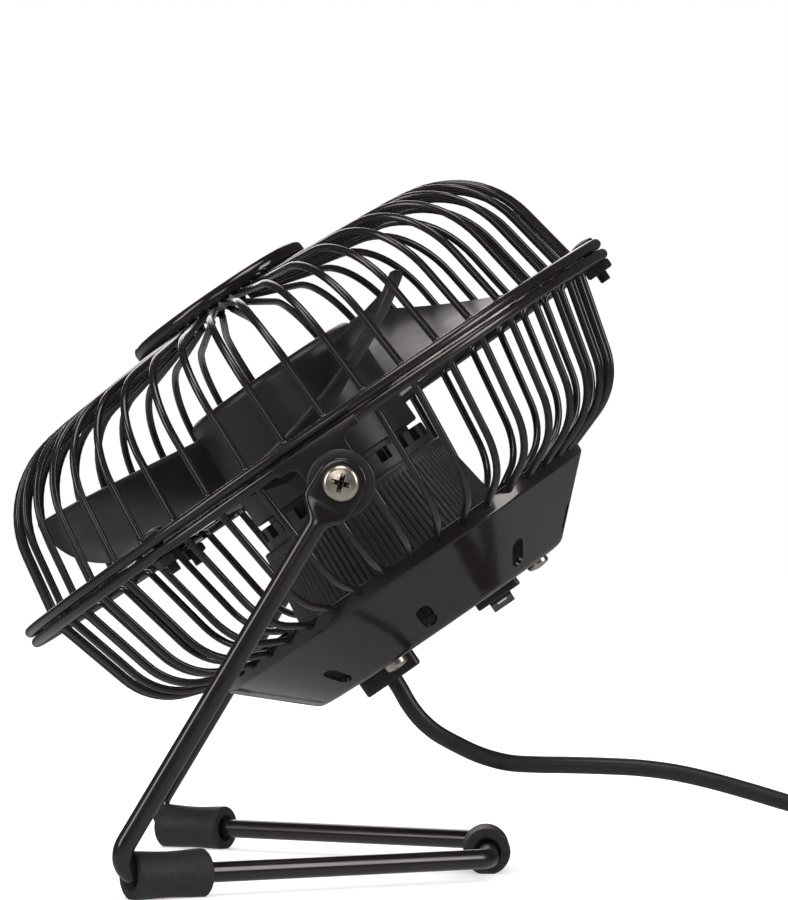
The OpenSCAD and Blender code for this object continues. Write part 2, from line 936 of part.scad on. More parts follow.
// Brush springs that run out through the cap as solder tags
module brushes() {
  reach = comm_r + play;
  tag_x = 8.75;
  tag_t = 0.5;
  tag_w = 2;
  low = core_z - 2.1;
  color("#c08b4a")
    in_head()
      for (a = [0, 180])
        rotate([0, 0, a])
          union() {
            translate([tag_x, -tag_w / 2, tag_end])
              cube([tag_t, tag_w, low + tag_t - tag_end]);
            translate([reach, -tag_w / 2, low])
              cube([tag_x + tag_t - reach, tag_w, tag_t]);
            translate([reach, -tag_w / 2, low])
              cube([0.9, tag_w, 0.8]);
          }
}

module motor_screws() {
  color("#8d8a85")
    in_head()
      for (s = [-1, 1])
        translate([s * motor_screw_r, 0, -cover_front])
          union() {
            cylinder(d = 3.4, h = 1);
            translate([0, 0, -cover_wall - can_wall + 0.2])
              cylinder(d = 1.6, h = cover_wall + can_wall);
          }
}

// ---- motor cover ----

module motor_cover() {
  body = [[collar_r, -collar_front],
          [collar_r, -cover_front + 0.8],
          [cover_r - 0.4, -cover_front + 0.4],
          [cover_r, -cover_front],
          [cover_end_r, -cover_end],
          [cover_end_r - cover_wall, -cover_end],
          [cover_r - cover_wall, -can_front],
          [0, -can_front],
          [0, -cover_front],
          [collar_r - 1.6, -cover_front],
          [collar_r - 1.6, -collar_front]];
  color("#2b2a2b")
    in_head()
      difference() {
        union() {
          rotate_extrude($fn = 96)
            polygon(body);
          translate([0, 0, -can_front - 12])
            tube_part(can_r + 1.4, can_r + play, 12.4);
          translate([0, 0, -cover_end])
            tube_part(cover_flange_r, cover_end_r - cover_wall - 0.2, 2.6);
          for (a = cover_screw_angles)
            rotate([0, 0, a])
              translate([cover_screw_r, 0, -cover_end])
                cylinder(r = 2.6, h = 6);
        }
        for (i = [0:window_count - 1])
          rotate([0, 0, i * 360 / window_count])
            translate([collar_r - 3, -1.5, -cover_front + 2.2])
              cube([5, 3, 4]);
        translate([0, 0, -can_front - 1])
          cylinder(r = boss_r + play, h = 4);
        for (s = [-1, 1])
          translate([s * motor_screw_r, 0, -can_front - 1])
            cylinder(d = 1.8, h = 4);
        for (a = cover_screw_angles)
          rotate([0, 0, a])
            translate([cover_screw_r, 0, -cover_end - 1])
              cylinder(d = cover_screw_d, h = 6);
      }
}

module cover_screws() {
  color("#c9c5bd")
    in_head()
      for (a = cover_screw_angles)
        rotate([0, 0, a])
          translate([cover_screw_r, 0, -cup_depth])
            union() {
              translate([0, 0, -cover_screw_head_h])
                intersection() {
                  cylinder(r = cover_screw_head_r, h = cover_screw_head_h);
                  translate([0, 0, cover_screw_dome_r])
                    sphere(r = cover_screw_dome_r);
                }
              translate([0, 0, -eps])
                cylinder(d = cover_screw_d, h = 5.4);
            }
}

// ---- rocker switch ----

module switch_body() {
  color("#1a1a1a")
    in_head()
      translate([0, switch_y, -cup_depth])
        difference() {
          union() {
            translate([-switch_l / 2, -switch_w / 2, -switch_flange_t])
              cube([switch_l, switch_w, switch_flange_t]);
            translate([-switch_body_l / 2, -switch_body_w / 2, -eps])
              cube([switch_body_l, switch_body_w, switch_deep + eps]);
          }
          translate([-rocker_l / 2 - 0.4, -rocker_w / 2 - 0.15, -switch_flange_t - 1])
            cube([rocker_l + 0.8, rocker_w + 0.3, switch_flange_t + 6]);
          translate([0, 0, cup_depth - rocker_axis])
            rotate([90, 0, 0])
              translate([0, 0, -rocker_w / 2 - 1.2])
                cylinder(r = rocker_pin_r + play, h = rocker_w + 2.4);
          for (s = [-1, 1])
            translate([s * terminal_x, 0, switch_deep])
              cube([terminal_t, terminal_w, 2 * (switch_deep - terminal_low)], center = true);
        }
}

// Blade terminals with their contacts inside the switch
module switch_terminals() {
  color("#c9b27a")
    in_head()
      for (s = [-1, 1])
        translate([s * terminal_x - terminal_t / 2, switch_y - terminal_w / 2, terminal_low - cup_depth])
          cube([terminal_t, terminal_w, terminal_top - terminal_low]);
}

module switch_rocker() {
  color("#242424")
    in_head()
      translate([0, switch_y, -rocker_axis])
        rotate([0, -rocker_tilt, 0])
          union() {
            translate([0, rocker_w / 2, 0])
              rotate([90, 0, 0])
                linear_extrude(rocker_w)
                  polygon([[-rocker_l / 2, -3.4],
                           [0, -2.6],
                           [rocker_l / 2, -3.4],
                           [rocker_l / 2 - 0.3, 0],
                           [1.6, 3.1],
                           [-1.6, 3.1],
                           [-rocker_l / 2 + 0.3, 0]]);
            translate([0, rocker_w / 2 + 1, 0])
              rotate([90, 0, 0])
                cylinder(r = rocker_pin_r, h = rocker_w + 2);
          }
}

// ---- cord outlet and wiring ----

// The moulded block over the cord's hole, pegged to the cup's floor
module cable_block() {
  round_r = 1.2;
  color("#1a1a1a")
    in_head()
      translate([0, -cord_y, -cord_exit])
        difference() {
          union() {
            linear_extrude(block_h) {
              square([block_x - 2 * round_r, block_y], center = true);
              square([block_x, block_y - 2 * round_r], center = true);
              for (x = [-1, 1], y = [-1, 1])
                translate([x * (block_x / 2 - round_r), y * (block_y / 2 - round_r)])
                  circle(r = round_r);
            }
            for (s = [-1, 1])
              translate([0, s * block_peg_y, block_h - eps])
                cylinder(r = block_peg_r, h = cup_sheet + 1);
          }
          translate([0, 0, -1])
            cylinder(d = cord_d + 2 * play, h = block_h + 2);
        }
}

// The cord's end inside the block, with the crimped collar that stops it pulling out
module cord_grip() {
  color("#1a1a1a")
    in_head()
      translate([0, -cord_y, -cord_exit])
        union() {
          cylinder(d = cord_d, h = block_h + cup_sheet + eps);
          translate([0, 0, block_h + cup_sheet + play])
            cylinder(r = grip_r, h = grip_l);
        }
}

// Insulated leads between the cord, the switch and the motor
module leads() {
  r = 1.4;
  from = block_h + cup_sheet + grip_l - cord_exit;
  low = tag_end + 0.6;
  high = -cup_depth + terminal_top - 0.6;
  core_x = 1.2;
  outer_x = 16.4;
  inner_x = 13.4;
  tag_x = 9.25;
  pin_x = terminal_x + terminal_t / 2;
  color("#7a1f1f")
    in_head()
      union() {
        bent_bar([[-core_x, -cord_y, from], [-core_x, -cord_y, high], [outer_x, -cord_y, high],
                  [outer_x, switch_y, high], [pin_x, switch_y, high]], [0, r, r, r, 0], lead_d);
        bent_bar([[core_x, -cord_y, from], [core_x, -cord_y, low], [inner_x, -cord_y, low],
                  [inner_x, 0, low], [tag_x, 0, low]], [0, r, r, r, 0], lead_d);
        bent_bar([[-tag_x, 0, low], [-inner_x, 0, low], [-inner_x, switch_y, high],
                  [-pin_x, switch_y, high]], [0, r, r, 0], lead_d);
      }
}

// ---- cord ----

// Sweeps an eight-sided tube along a route; the sides are set out from the direction across
module swept_tube(route, r, across) {
  n = 8;
  last = len(route) - 1;
  function way(i) = unit(route[min(i + 1, last)] - route[max(i - 1, 0)]);
  function out(i) = unit(across - way(i) * (across * way(i)));
  points = [for (i = [0:last], k = [0:n - 1])
    route[i] + r * (out(i) * cos(360 * k / n) + cross(way(i), out(i)) * sin(360 * k / n))];
  sides = [for (i = [0:last - 1], k = [0:n - 1])
    [i * n + k, i * n + (k + 1) % n, (i + 1) * n + (k + 1) % n, (i + 1) * n + k]];
  start_cap = [for (k = [0:n - 1]) n - 1 - k];
  end_cap = [for (k = [0:n - 1]) last * n + k];
  polyhedron(points, concat([start_cap], sides, [end_cap]));
}

function block_exit() =
  let (s = cord_exit - pivot_back)
  [0, pivot_y - cord_y * cos(head_lean) + s * sin(head_lean),
   pivot_z - cord_y * sin(head_lean) - s * cos(head_lean)];
module cord_tube() {
  route = concat([block_exit()], [for (p = cord_route) p + [0, pivot_y, 0]]);
  swept_tube(route, cord_d / 2, [1, 0, 0]);
}

module split_drum(r) {
  translate([-10, pivot_y, pivot_z])
    rotate([0, 90, 0])
      cylinder(r = r, h = 20, $fn = 96);
}

// The cord's first stretch, which swings with the head
module cord_drop() {
  color("#1c1b1b")
    intersection() {
      cord_tube();
      split_drum(cord_split_r);
    }
}

module cord_run() {
  color("#1c1b1b")
    difference() {
      cord_tube();
      split_drum(cord_split_r + cord_split_gap);
    }
}

module cord_tail() {
  color("#1c1b1b")
    swept_tube([for (p = tail_route) p + [0, tail_y, 0]], cord_d / 2, [0, 0, 1]);
}

module rounded_square(side, r) {
  square([side, side - 2 * r], center = true);
  square([side - 2 * r, side], center = true);
  for (x = [-1, 1], y = [-1, 1])
    translate([x * (side / 2 - r), y * (side / 2 - r)])
      circle(r = r);
}

module cord_coil() {
  color("#1c1b1b")
    translate([coil_centre[0], coil_centre[1], coil_low + coil_side / 2])
      rotate_extrude($fn = 96)
        translate([coil_r, 0])
          rounded_square(coil_side, cord_d / 2);
}

// A rubber strap round the turns, bent along the coil
module cord_tie() {
  span = tie_w / coil_r * 180 / PI;
  color("#141414")
    translate([coil_centre[0], coil_centre[1], coil_low + coil_side / 2])
      rotate([0, 0, -span / 2])
        rotate_extrude(angle = span)
          translate([coil_r, 0])
            difference() {
              rounded_square(coil_side + 2 * tie_t, cord_d / 2 + tie_t);
              rounded_square(coil_side + 2 * tie_gap, cord_d / 2);
            }
}

module at_plug(from) {
  translate([plug_x + from, tail_y, plug_z])
    children();
}

// The moulded grip with its tapered cord relief
module plug_grip() {
  h = 2 * plug_z;
  round_r = 1.5;
  color("#1a1a1a")
    at_plug(0)
      rotate([0, 90, 0])
        union() {
          cylinder(d1 = cord_d + 1.4, d2 = 6.4, h = relief_l + eps);
          translate([0, 0, relief_l])
            linear_extrude(grip_body_l) {
              square([h - 2 * round_r, plug_w], center = true);
              square([h, plug_w - 2 * round_r], center = true);
              for (x = [-1, 1], y = [-1, 1])
                translate([x * (h / 2 - round_r), y * (plug_w / 2 - round_r)])
                  circle(r = round_r);
            }
        }
}

// The folded metal shell of the plug
module plug_shell() {
  window = 2.2;
  color("#c8c8c6")
    at_plug(relief_l + grip_body_l)
      difference() {
        translate([0, -shell_w / 2, -shell_h / 2])
          cube([shell_l, shell_w, shell_h]);
        translate([-1, -shell_w / 2 + shell_t, -shell_h / 2 + shell_t])
          cube([shell_l + 2, shell_w - 2 * shell_t, shell_h - 2 * shell_t]);
        for (s = [-1, 1])
          translate([shell_l - 5.3, s * 2.8, 0])
            cube([window, window, 2 * shell_h], center = true);
      }
}

// The contact carrier inside the plug shell
module plug_tongue() {
  w = shell_w - 2 * shell_t - 0.2;
  h = 1.9;
  color("#e8e8e6")
    at_plug(relief_l + grip_body_l)
      translate([0, -w / 2, -shell_h / 2 + shell_t])
        cube([shell_l - 0.8, w, h]);
}

// ---- all nodes ----

stand_rod();
right_front_foot();
left_front_foot();
rear_foot();
front_ring();
front_wires();
front_disc();
front_badge();
rear_ring();
rear_wires();
rear_cup();
front_clamp_tabs();
rear_clamp_tabs();
clamp_bolts();
clamp_nuts();
right_ear();
left_ear();
pivot_spacers();
pivot_screws();
pivot_nuts();
impeller();
motor_shaft();
armature_core();
armature_windings();
commutator();
motor_can();
motor_end_cap();
motor_magnets();
front_bush();
rear_bush();
brushes();
motor_screws();
motor_cover();
cover_screws();
switch_body();
switch_terminals();
switch_rocker();
cable_block();
cord_grip();
leads();
cord_drop();
cord_run();
cord_coil();
cord_tie();
cord_tail();
plug_grip();
plug_shell();
plug_tongue();
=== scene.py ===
import json
import math

import bmesh
import bpy
from mathutils import Matrix, Vector


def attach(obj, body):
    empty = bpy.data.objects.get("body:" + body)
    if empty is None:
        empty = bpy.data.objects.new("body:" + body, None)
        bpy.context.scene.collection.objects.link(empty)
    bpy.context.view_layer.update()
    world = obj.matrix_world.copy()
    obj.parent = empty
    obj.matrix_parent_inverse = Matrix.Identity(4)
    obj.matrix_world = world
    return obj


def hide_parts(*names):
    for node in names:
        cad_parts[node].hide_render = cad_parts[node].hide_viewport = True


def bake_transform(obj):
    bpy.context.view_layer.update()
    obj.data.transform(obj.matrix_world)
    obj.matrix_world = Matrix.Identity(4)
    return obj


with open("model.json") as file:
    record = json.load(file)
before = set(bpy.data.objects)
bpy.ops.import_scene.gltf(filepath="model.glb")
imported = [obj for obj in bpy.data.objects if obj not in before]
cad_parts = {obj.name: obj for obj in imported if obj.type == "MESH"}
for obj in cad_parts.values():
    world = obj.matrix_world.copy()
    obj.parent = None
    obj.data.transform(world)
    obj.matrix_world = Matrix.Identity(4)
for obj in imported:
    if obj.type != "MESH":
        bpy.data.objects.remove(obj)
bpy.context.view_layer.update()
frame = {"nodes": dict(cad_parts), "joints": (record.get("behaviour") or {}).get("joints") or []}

# Every size below is in millimetres unless its name ends in _m, as in the CAD source.
MM = 0.001
JOINTS = {joint["name"]: joint for joint in frame["joints"]}
PIVOT_M = Vector(JOINTS["tilt"]["pos_m"])
FORWARD = Vector(JOINTS["impeller_spin"]["axis"])
LEAN = math.atan2(-FORWARD.y, FORWARD.z)
PIVOT = PIVOT_M / MM
PIVOT_BACK = 10.2

# The head frame: its origin is the middle of the two clamp rings and +Z points out of the front.
ROW = Matrix.Scale(MM, 4)
HEAD = (Matrix.Translation(PIVOT_M) @ Matrix.Rotation(LEAN, 4, "X")
        @ Matrix.Translation((0, 0, PIVOT_BACK * MM)) @ Matrix.Scale(MM, 4))


# ---- camera

def make_camera():
    """Looks along -X, level with the tilt axis, from one metre away."""
    distance_m = 1.0
    focal_mm = 195.1
    pitch = math.radians(0.53)
    data = bpy.data.cameras.new("camera")
    data.lens = focal_mm
    data.sensor_width = 36
    data.clip_start = 0.05
    camera = bpy.data.objects.new("camera", data)
    camera.location = (distance_m, PIVOT_M.y + 0.0104, 0.077)
    camera.rotation_euler = (math.pi / 2 + pitch, 0, math.pi / 2 + math.radians(0.02))
    bpy.context.scene.collection.objects.link(camera)
    bpy.context.scene.camera = camera


make_camera()


# ---- mesh tools

class Shape:
    """Points and faces of one piece, in millimetres."""

    def __init__(self):
        self.points = []
        self.faces = []

    def add(self, points, faces, place=None):
        first = len(self.points)
        for point in points:
            point = Vector(point)
            self.points.append(place @ point if place else point)
        for face in faces:
            self.faces.append([first + i for i in face])

    def grid(self, rows, wrap=True, close=False, caps=True, place=None):
        """Joins rows of points. wrap closes each row, close joins the last row to the first."""
        n = len(rows[0])
        m = len(rows)
        faces = []
        for i in range(m if close else m - 1):
            for j in range(n if wrap else n - 1):
                a = i * n + j
                b = i * n + (j + 1) % n
                c = (i + 1) % m * n + (j + 1) % n
                d = (i + 1) % m * n + j
                faces.append([a, b, c, d])
        if caps and not close:
            faces.append(list(range(n))[::-1])
            faces.append(list(range((m - 1) * n, m * n)))
        self.add([point for row in rows for point in row], faces, place)


def polar(r, a, z=0.0):
    """The point at radius r and angle a (radians) round Z."""
    return Vector((r * math.cos(a), r * math.sin(a), z))


def angles(count):
    """That many equal steps of a full turn, in radians."""
    return [2 * math.pi * k / count for k in range(count)]


def spin(degrees):
    return Matrix.Rotation(math.radians(degrees), 4, "Z")


def at(x, y, z):
    return Matrix.Translation((x, y, z))


def rounded(points, radii, step=7.0):
    """A polyline with an arc of radii[i] at point i and an arc point every step degrees."""
    points = [Vector(p).to_3d() for p in points]
    path = [points[0]]
    for i in range(1, len(points) - 1):
        before = (points[i] - points[i - 1]).normalized()
        after = (points[i + 1] - points[i]).normalized()
        turn = before.angle(after)
        if radii[i] <= 0 or turn < 1e-4:
            path.append(points[i])
            continue
        cut = radii[i] * math.tan(turn / 2)
        start = points[i] - before * cut
        inward = (after - before * before.dot(after)).normalized()
        centre = start + inward * radii[i]
        count = max(2, round(math.degrees(turn) / step))
        for k in range(count + 1):
            a = turn * k / count
            path.append(centre + radii[i] * (before * math.sin(a) - inward * math.cos(a)))
    path.append(points[-1])
    return path


def closed_rounded(points, radii, step=15.0):
    """A closed outline with an arc at each corner."""
    n = len(points)
    outline = []
    for i in range(n):
        around = [points[i - 1], points[i], points[(i + 1) % n]]
        outline += rounded(around, [0, radii[i], 0], step)[1:-1]
    return outline


def directions(path):
    last = len(path) - 1
    return [(path[min(i + 1, last)] - path[max(i - 1, 0)]).normalized() for i in range(last + 1)]


def sides_along(path, first_side):
    """A direction across the path at each point, carried along it without twist."""
    ways = directions(path)
    side = Vector(first_side)
    found = []
    for way in ways:
        side = (side - way * side.dot(way)).normalized()
        found.append((side, way.cross(side)))
    return found


def tube(shape, path, radius, sides=12, first_side=(0, 1, 0), rim=0.0, place=None):
    """A round bar along a path. rim rounds the edges of its two ends by that much."""
    radii = [radius] * len(path)
    ways = directions(path)
    path = list(path)
    if rim:
        start, end = path[0], path[-1]
        path[0:1] = [start, start + ways[0] * rim * 0.3, start + ways[0] * rim]
        path[-1:] = [end - ways[-1] * rim, end - ways[-1] * rim * 0.3, end]
        ends = [radius - rim, radius - rim * 0.3]
        radii = ends + [radius] * (len(path) - 4) + ends[::-1]
    rows = []
    for point, r, (u, v) in zip(path, radii, sides_along(path, first_side)):
        rows.append([point + r * (u * math.cos(a) + v * math.sin(a)) for a in angles(sides)])
    shape.grid(rows, place=place)


def lathe(shape, profile, segments=96, place=None):
    """Turns a closed outline of (radius, height) points about Z."""
    rows = [[polar(p[0], a, p[1]) for p in profile] for a in angles(segments)]
    shape.grid(rows, close=True, caps=False, place=place)


def slab(shape, outline, low, high, edge=0.0, steps=3, place=None):
    """An outline in XY made solid from low to high, with its edges rounded by edge."""
    outline = [Vector(p).to_3d() for p in outline]
    before = outline[-1:] + outline[:-1]
    after = outline[1:] + outline[:1]
    ways = [(b - a).normalized() for a, b in zip(before, after)]
    normals = [Vector((way.y, -way.x, 0)) for way in ways]
    area = sum(a.x * b.y - b.x * a.y for a, b in zip(outline, after))
    outward = 1 if area > 0 else -1
    rows = []
    levels = [(low, -edge)]
    for k in range(1, steps + 1):
        a = math.pi / 2 * k / steps
        levels.append((low + edge * (1 - math.cos(a)), -edge * (1 - math.sin(a))))
    for k in range(steps + 1):
        a = math.pi / 2 * k / steps
        levels.append((high - edge * (1 - math.sin(a)), -edge * (1 - math.cos(a))))
    if not edge:
        levels = [(low, 0), (high, 0)]
    for z, inset in levels:
        rows.append([p + n * outward * inset + Vector((0, 0, z)) for p, n in zip(outline, normals)])
    shape.grid(rows, place=place)


def rectangle(length, width, radius, step=15.0):
    x, y = length / 2, width / 2
    return closed_rounded([(-x, -y), (x, -y), (x, y), (-x, y)], [radius] * 4, step)


def circle(radius, count=48):
    return [polar(radius, a) for a in angles(count)]


def blob(shape, centre, radii, place=None, rings=6, around=10):
    """A flattened ball, such as a spot weld under its paint."""
    centre = Vector(centre)
    stretch = Matrix.Diagonal(radii)
    rows = []
    for i in range(rings + 1):
        a = math.pi * i / rings
        rows.append([centre + stretch @ polar(math.sin(a), b, math.cos(a)) for b in angles(around)])
    shape.grid(rows, caps=False, place=place)


def make_object(name, shape, place=ROW):
    """A mesh object at the origin, closed, with doubled points merged and normals outwards."""
    mesh = bpy.data.meshes.new(name)
    mesh.from_pydata([place @ p for p in shape.points], [], shape.faces)
    work = bmesh.new()
    work.from_mesh(mesh)
    bmesh.ops.remove_doubles(work, verts=work.verts, dist=0.002 * MM)
    bmesh.ops.dissolve_degenerate(work, edges=work.edges, dist=0.001 * MM)
    bmesh.ops.recalc_face_normals(work, faces=work.faces)
    work.to_mesh(mesh)
    work.free()
    thing = bpy.data.objects.new(name, mesh)
    bpy.context.scene.collection.objects.link(thing)
    return thing


def cut(thing, cutter_shape, place=ROW):
    """Takes one shape away from an object."""
    cutter = make_object("cutter", cutter_shape, place)
    modifier = thing.modifiers.new("cut", "BOOLEAN")
    modifier.operation = "DIFFERENCE"
    modifier.solver = "EXACT"
    modifier.use_self = True
    modifier.object = cutter
    graph = bpy.context.evaluated_depsgraph_get()
    mesh = bpy.data.meshes.new_from_object(thing.evaluated_get(graph))
    thing.modifiers.clear()
    thing.data = mesh
    bpy.data.objects.remove(cutter)


def smooth(thing, angle=35.0):
    thing.data.shade_smooth()
    thing.data.set_sharp_from_angle(angle=math.radians(angle))


def settle(thing, body, material, nodes=(), angle=35.0):
    """Shades a piece, gives it its material and lets it ride on its body in place of CAD nodes."""
    smooth(thing, angle)
    thing.data.materials.clear()
    thing.data.materials.append(material)
    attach(thing, body)
    if nodes:
        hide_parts(*nodes)
    return thing


# ---- materials

def map_range(tree, value, before, after):
    """Stretches a value's range from before to after, and returns the node."""
    stretch = tree.nodes.new("ShaderNodeMapRange")
    for name, number in zip(("From Min", "From Max", "To Min", "To Max"), before + after):
        stretch.inputs[name].default_value = number
    tree.links.new(value, stretch.inputs["Value"])
    return stretch


def blotches(tree, where, per_metre, detail, low, high):
    """Noise at a scale given in cells per metre, stretched to run from low to high."""
    noise = tree.nodes.new("ShaderNodeTexNoise")
    noise.inputs["Scale"].default_value = per_metre
    noise.inputs["Detail"].default_value = detail
    tree.links.new(where, noise.inputs["Vector"])
    return map_range(tree, noise.outputs["Fac"], (0.3, 0.7), (low, high)).outputs["Result"]


def make_material(name, colours, rough, colour_scale=60, rough_scale=140, grain=(), **constants):
    """A Principled material whose colour and roughness wander between two values.
    grain is a list of (cells per metre, height in mm) for the bump."""
    material = bpy.data.materials.new(name)
    material.use_nodes = True
    tree = material.node_tree
    shader = tree.nodes["Principled BSDF"]
    where = tree.nodes.new("ShaderNodeTexCoord").outputs["Object"]
    mix = tree.nodes.new("ShaderNodeMix")
    mix.data_type = "RGBA"
    mix.inputs["A"].default_value = (*colours[0], 1)
    mix.inputs["B"].default_value = (*colours[1], 1)
    tree.links.new(blotches(tree, where, colour_scale, 6, 0, 1), mix.inputs["Factor"])
    tree.links.new(mix.outputs["Result"], shader.inputs["Base Color"])
    tree.links.new(blotches(tree, where, rough_scale, 4, *rough), shader.inputs["Roughness"])
    before = None
    for per_metre, height in grain:
        bump = tree.nodes.new("ShaderNodeBump")
        bump.inputs["Distance"].default_value = height * MM
        tree.links.new(blotches(tree, where, per_metre, 3, 0, 1), bump.inputs["Height"])
        if before:
            tree.links.new(before.outputs["Normal"], bump.inputs["Normal"])
        before = bump
    if before:
        tree.links.new(before.outputs["Normal"], shader.inputs["Normal"])
    for socket, value in constants.items():
        shader.inputs[socket.replace("_", " ")].default_value = value
    return material


ENAMEL = make_material(
    "black_enamel", [(0.0065, 0.0048, 0.0048), (0.0105, 0.0082, 0.0080)], (0.17, 0.26),
    grain=[(450, 0.0015)], Coat_Weight=0.25, Coat_Roughness=0.05)
CUP_ENAMEL = make_material(
    "cup_enamel", [(0.0065, 0.0050, 0.0050), (0.0100, 0.0080, 0.0078)], (0.10, 0.17),
    grain=[(160, 0.030), (1400, 0.0008)], Coat_Weight=0.2, Coat_Roughness=0.03)
DARK_STEEL = make_material(
    "dark_steel", [(0.030, 0.028, 0.027), (0.060, 0.056, 0.052)], (0.32, 0.48),
    colour_scale=300, grain=[(3500, 0.004)], Metallic=0.85)
NICKEL = make_material(
    "nickel", [(0.66, 0.61, 0.53), (0.54, 0.49, 0.42)], (0.24, 0.36),
    colour_scale=350, rough_scale=600, grain=[(2500, 0.003)], Metallic=1.0)
STEEL = make_material(
    "steel", [(0.42, 0.42, 0.41), (0.33, 0.33, 0.32)], (0.28, 0.42),
    colour_scale=260, grain=[(3000, 0.003)], Metallic=1.0)
RUBBER = make_material(
    "rubber", [(0.0095, 0.0092, 0.0092), (0.0175, 0.0170, 0.0168)], (0.50, 0.66),
    colour_scale=900, grain=[(5200, 0.020), (1500, 0.010)], Specular_IOR_Level=0.42)
HUB_PLASTIC = make_material(
    "fan_plastic", [(0.0105, 0.0092, 0.0108), (0.0150, 0.0134, 0.0152)], (0.30, 0.42),
    grain=[(1800, 0.004), (6000, 0.002)])
COVER_PLASTIC = make_material(
    "cover_plastic", [(0.0120, 0.0112, 0.0114), (0.0200, 0.0188, 0.0190)], (0.38, 0.52),
    colour_scale=200, grain=[(4500, 0.006)])
SWITCH_PLASTIC = make_material(
    "switch_plastic", [(0.0085, 0.0082, 0.0084), (0.0130, 0.0126, 0.0128)], (0.34, 0.48),
    grain=[(5000, 0.006)])
SPACER_PLASTIC = make_material(
    "spacer_plastic", [(0.0080, 0.0076, 0.0076), (0.0120, 0.0112, 0.0112)], (0.28, 0.40),
    grain=[(4000, 0.004)])
CORD_JACKET = make_material(
    "cord_jacket", [(0.0075, 0.0070, 0.0072), (0.0115, 0.0108, 0.0110)], (0.36, 0.48),
    colour_scale=250, grain=[(1400, 0.010), (5000, 0.004)])
WHITE_PLASTIC = make_material(
    "white_plastic", [(0.72, 0.71, 0.68), (0.78, 0.77, 0.74)], (0.38, 0.5),
    grain=[(4000, 0.004)])
COPPER = make_material(
    "copper_wire", [(0.55, 0.20, 0.08), (0.42, 0.14, 0.05)], (0.25, 0.4),
    colour_scale=500, grain=[(2200, 0.05)], Metallic=0.9)
BRASS = make_material(
    "brass", [(0.62, 0.44, 0.20), (0.50, 0.34, 0.15)], (0.26, 0.4),
    colour_scale=400, grain=[(3000, 0.003)], Metallic=1.0)
MAGNET = make_material(
    "ferrite", [(0.055, 0.055, 0.058), (0.085, 0.085, 0.088)], (0.55, 0.7),
    colour_scale=600, grain=[(3500, 0.012)])
LEAD_JACKET = make_material(
    "lead_jacket", [(0.22, 0.012, 0.012), (0.30, 0.020, 0.018)], (0.36, 0.5),
    grain=[(4000, 0.004)])
MARK = make_material(
    "switch_mark", [(0.62, 0.62, 0.60), (0.70, 0.70, 0.68)], (0.5, 0.6),
    grain=[(5000, 0.004)])
FLOOR = make_material(
    "floor", [(0.86, 0.86, 0.86), (0.88, 0.88, 0.88)], (0.85, 0.95),
    Emission_Color=(1, 1, 1, 1), Emission_Strength=0.35, Specular_IOR_Level=0.1)

# The CAD nodes that stay as they are and only get a better material
for node, finish in {
    "motor_shaft": STEEL, "armature_core": STEEL, "armature_windings": COPPER, "commutator": BRASS,
    "motor_can": STEEL, "motor_end_cap": WHITE_PLASTIC, "motor_magnets": MAGNET, "front_bush": BRASS,
    "rear_bush": BRASS, "brushes": BRASS, "motor_screws": STEEL, "switch_terminals": BRASS,
    "cord_grip": CORD_JACKET, "leads": LEAD_JACKET,
}.items():
    frame["nodes"][node].data.materials.clear()
    frame["nodes"][node].data.materials.append(finish)


# ---- cord

CORD_D = 3.5
CORD_Y = 14.3
CORD_EXIT = 49.0
COIL_CENTRE = Vector((22.5, PIVOT.y + 118, 0))
COIL_LOW = 0.9
TAIL_Y = COIL_CENTRE.y + 6.4286 * CORD_D
PLUG_X = 42.0
PLUG_Z = 3.8

# The route from the block to the coil, with Y counted from the tilt axis, as in part.scad
CORD_ROUTE = [
    (0, 11.5, 37.0), (0, 13.1, 34.2), (0, 15.4, 31.2), (0, 18.6, 28.4), (0, 22.8, 26.0),
    (0, 27.8, 23.7), (0, 33.4, 22.2), (0, 39.5, 21.8), (0, 46.0, 21.7), (0, 53.0, 21.5),
    (0, 60.5, 21.1), (0, 68.0, 20.1), (0, 75.5, 18.4), (0, 83.0, 16.3), (0, 90.0, 14.2),
    (0, 96.5, 12.4), (0, 102.5, 11.0), (0, 108.0, 10.1), (0, 113.0, 9.7)]
TAIL_ROUTE = [(29, -0.5, 2.7), (32.5, 0, 2.7), (36, 0, 3), (39, 0, 3.5), (42, 0, 3.8)]


def through(points, per_span):
    """A smooth curve through points, from the second to the last but one."""
    path = []
    for a, b, c, d in zip(points, points[1:], points[2:], points[3:]):
        for k in range(per_span):
            t = k / per_span
            path.append(0.5 * (2 * b + (c - a) * t + (2 * a - 5 * b + 4 * c - d) * t ** 2
                               + (3 * b - a - 3 * c + d) * t ** 3))
    return path + [points[-2]]


def coil_path(step=5.0):
    """Nine turns in three rows: each turn lies beside or on the one before it."""
    rows = {"top": 2, "middle": 1, "bottom": 0}
    order = [("top", 1), ("top", 0), ("top", -1), ("middle", -1), ("bottom", -1),
             ("bottom", 0), ("middle", 0), ("middle", 1), ("bottom", 1)]
    places = [(19 + out * CORD_D, COIL_LOW + (rows[row] + 0.5) * CORD_D) for row, out in order]
    turn = 330.0
    change = 120.0
    path = []
    for k in range(int(turn * len(places) / step) + 1):
        along = k * step
        r, z = places[0]
        for i in range(1, len(places)):
            t = min(1, max(0, (along - (325.0 * i - change / 2)) / change))
            share = t * t * (3 - 2 * t)
            r += share * (places[i][0] - places[i - 1][0])
            z += share * (places[i][1] - places[i - 1][1])
        path.append(COIL_CENTRE + polar(r, math.radians(180 - along), z))
    return path


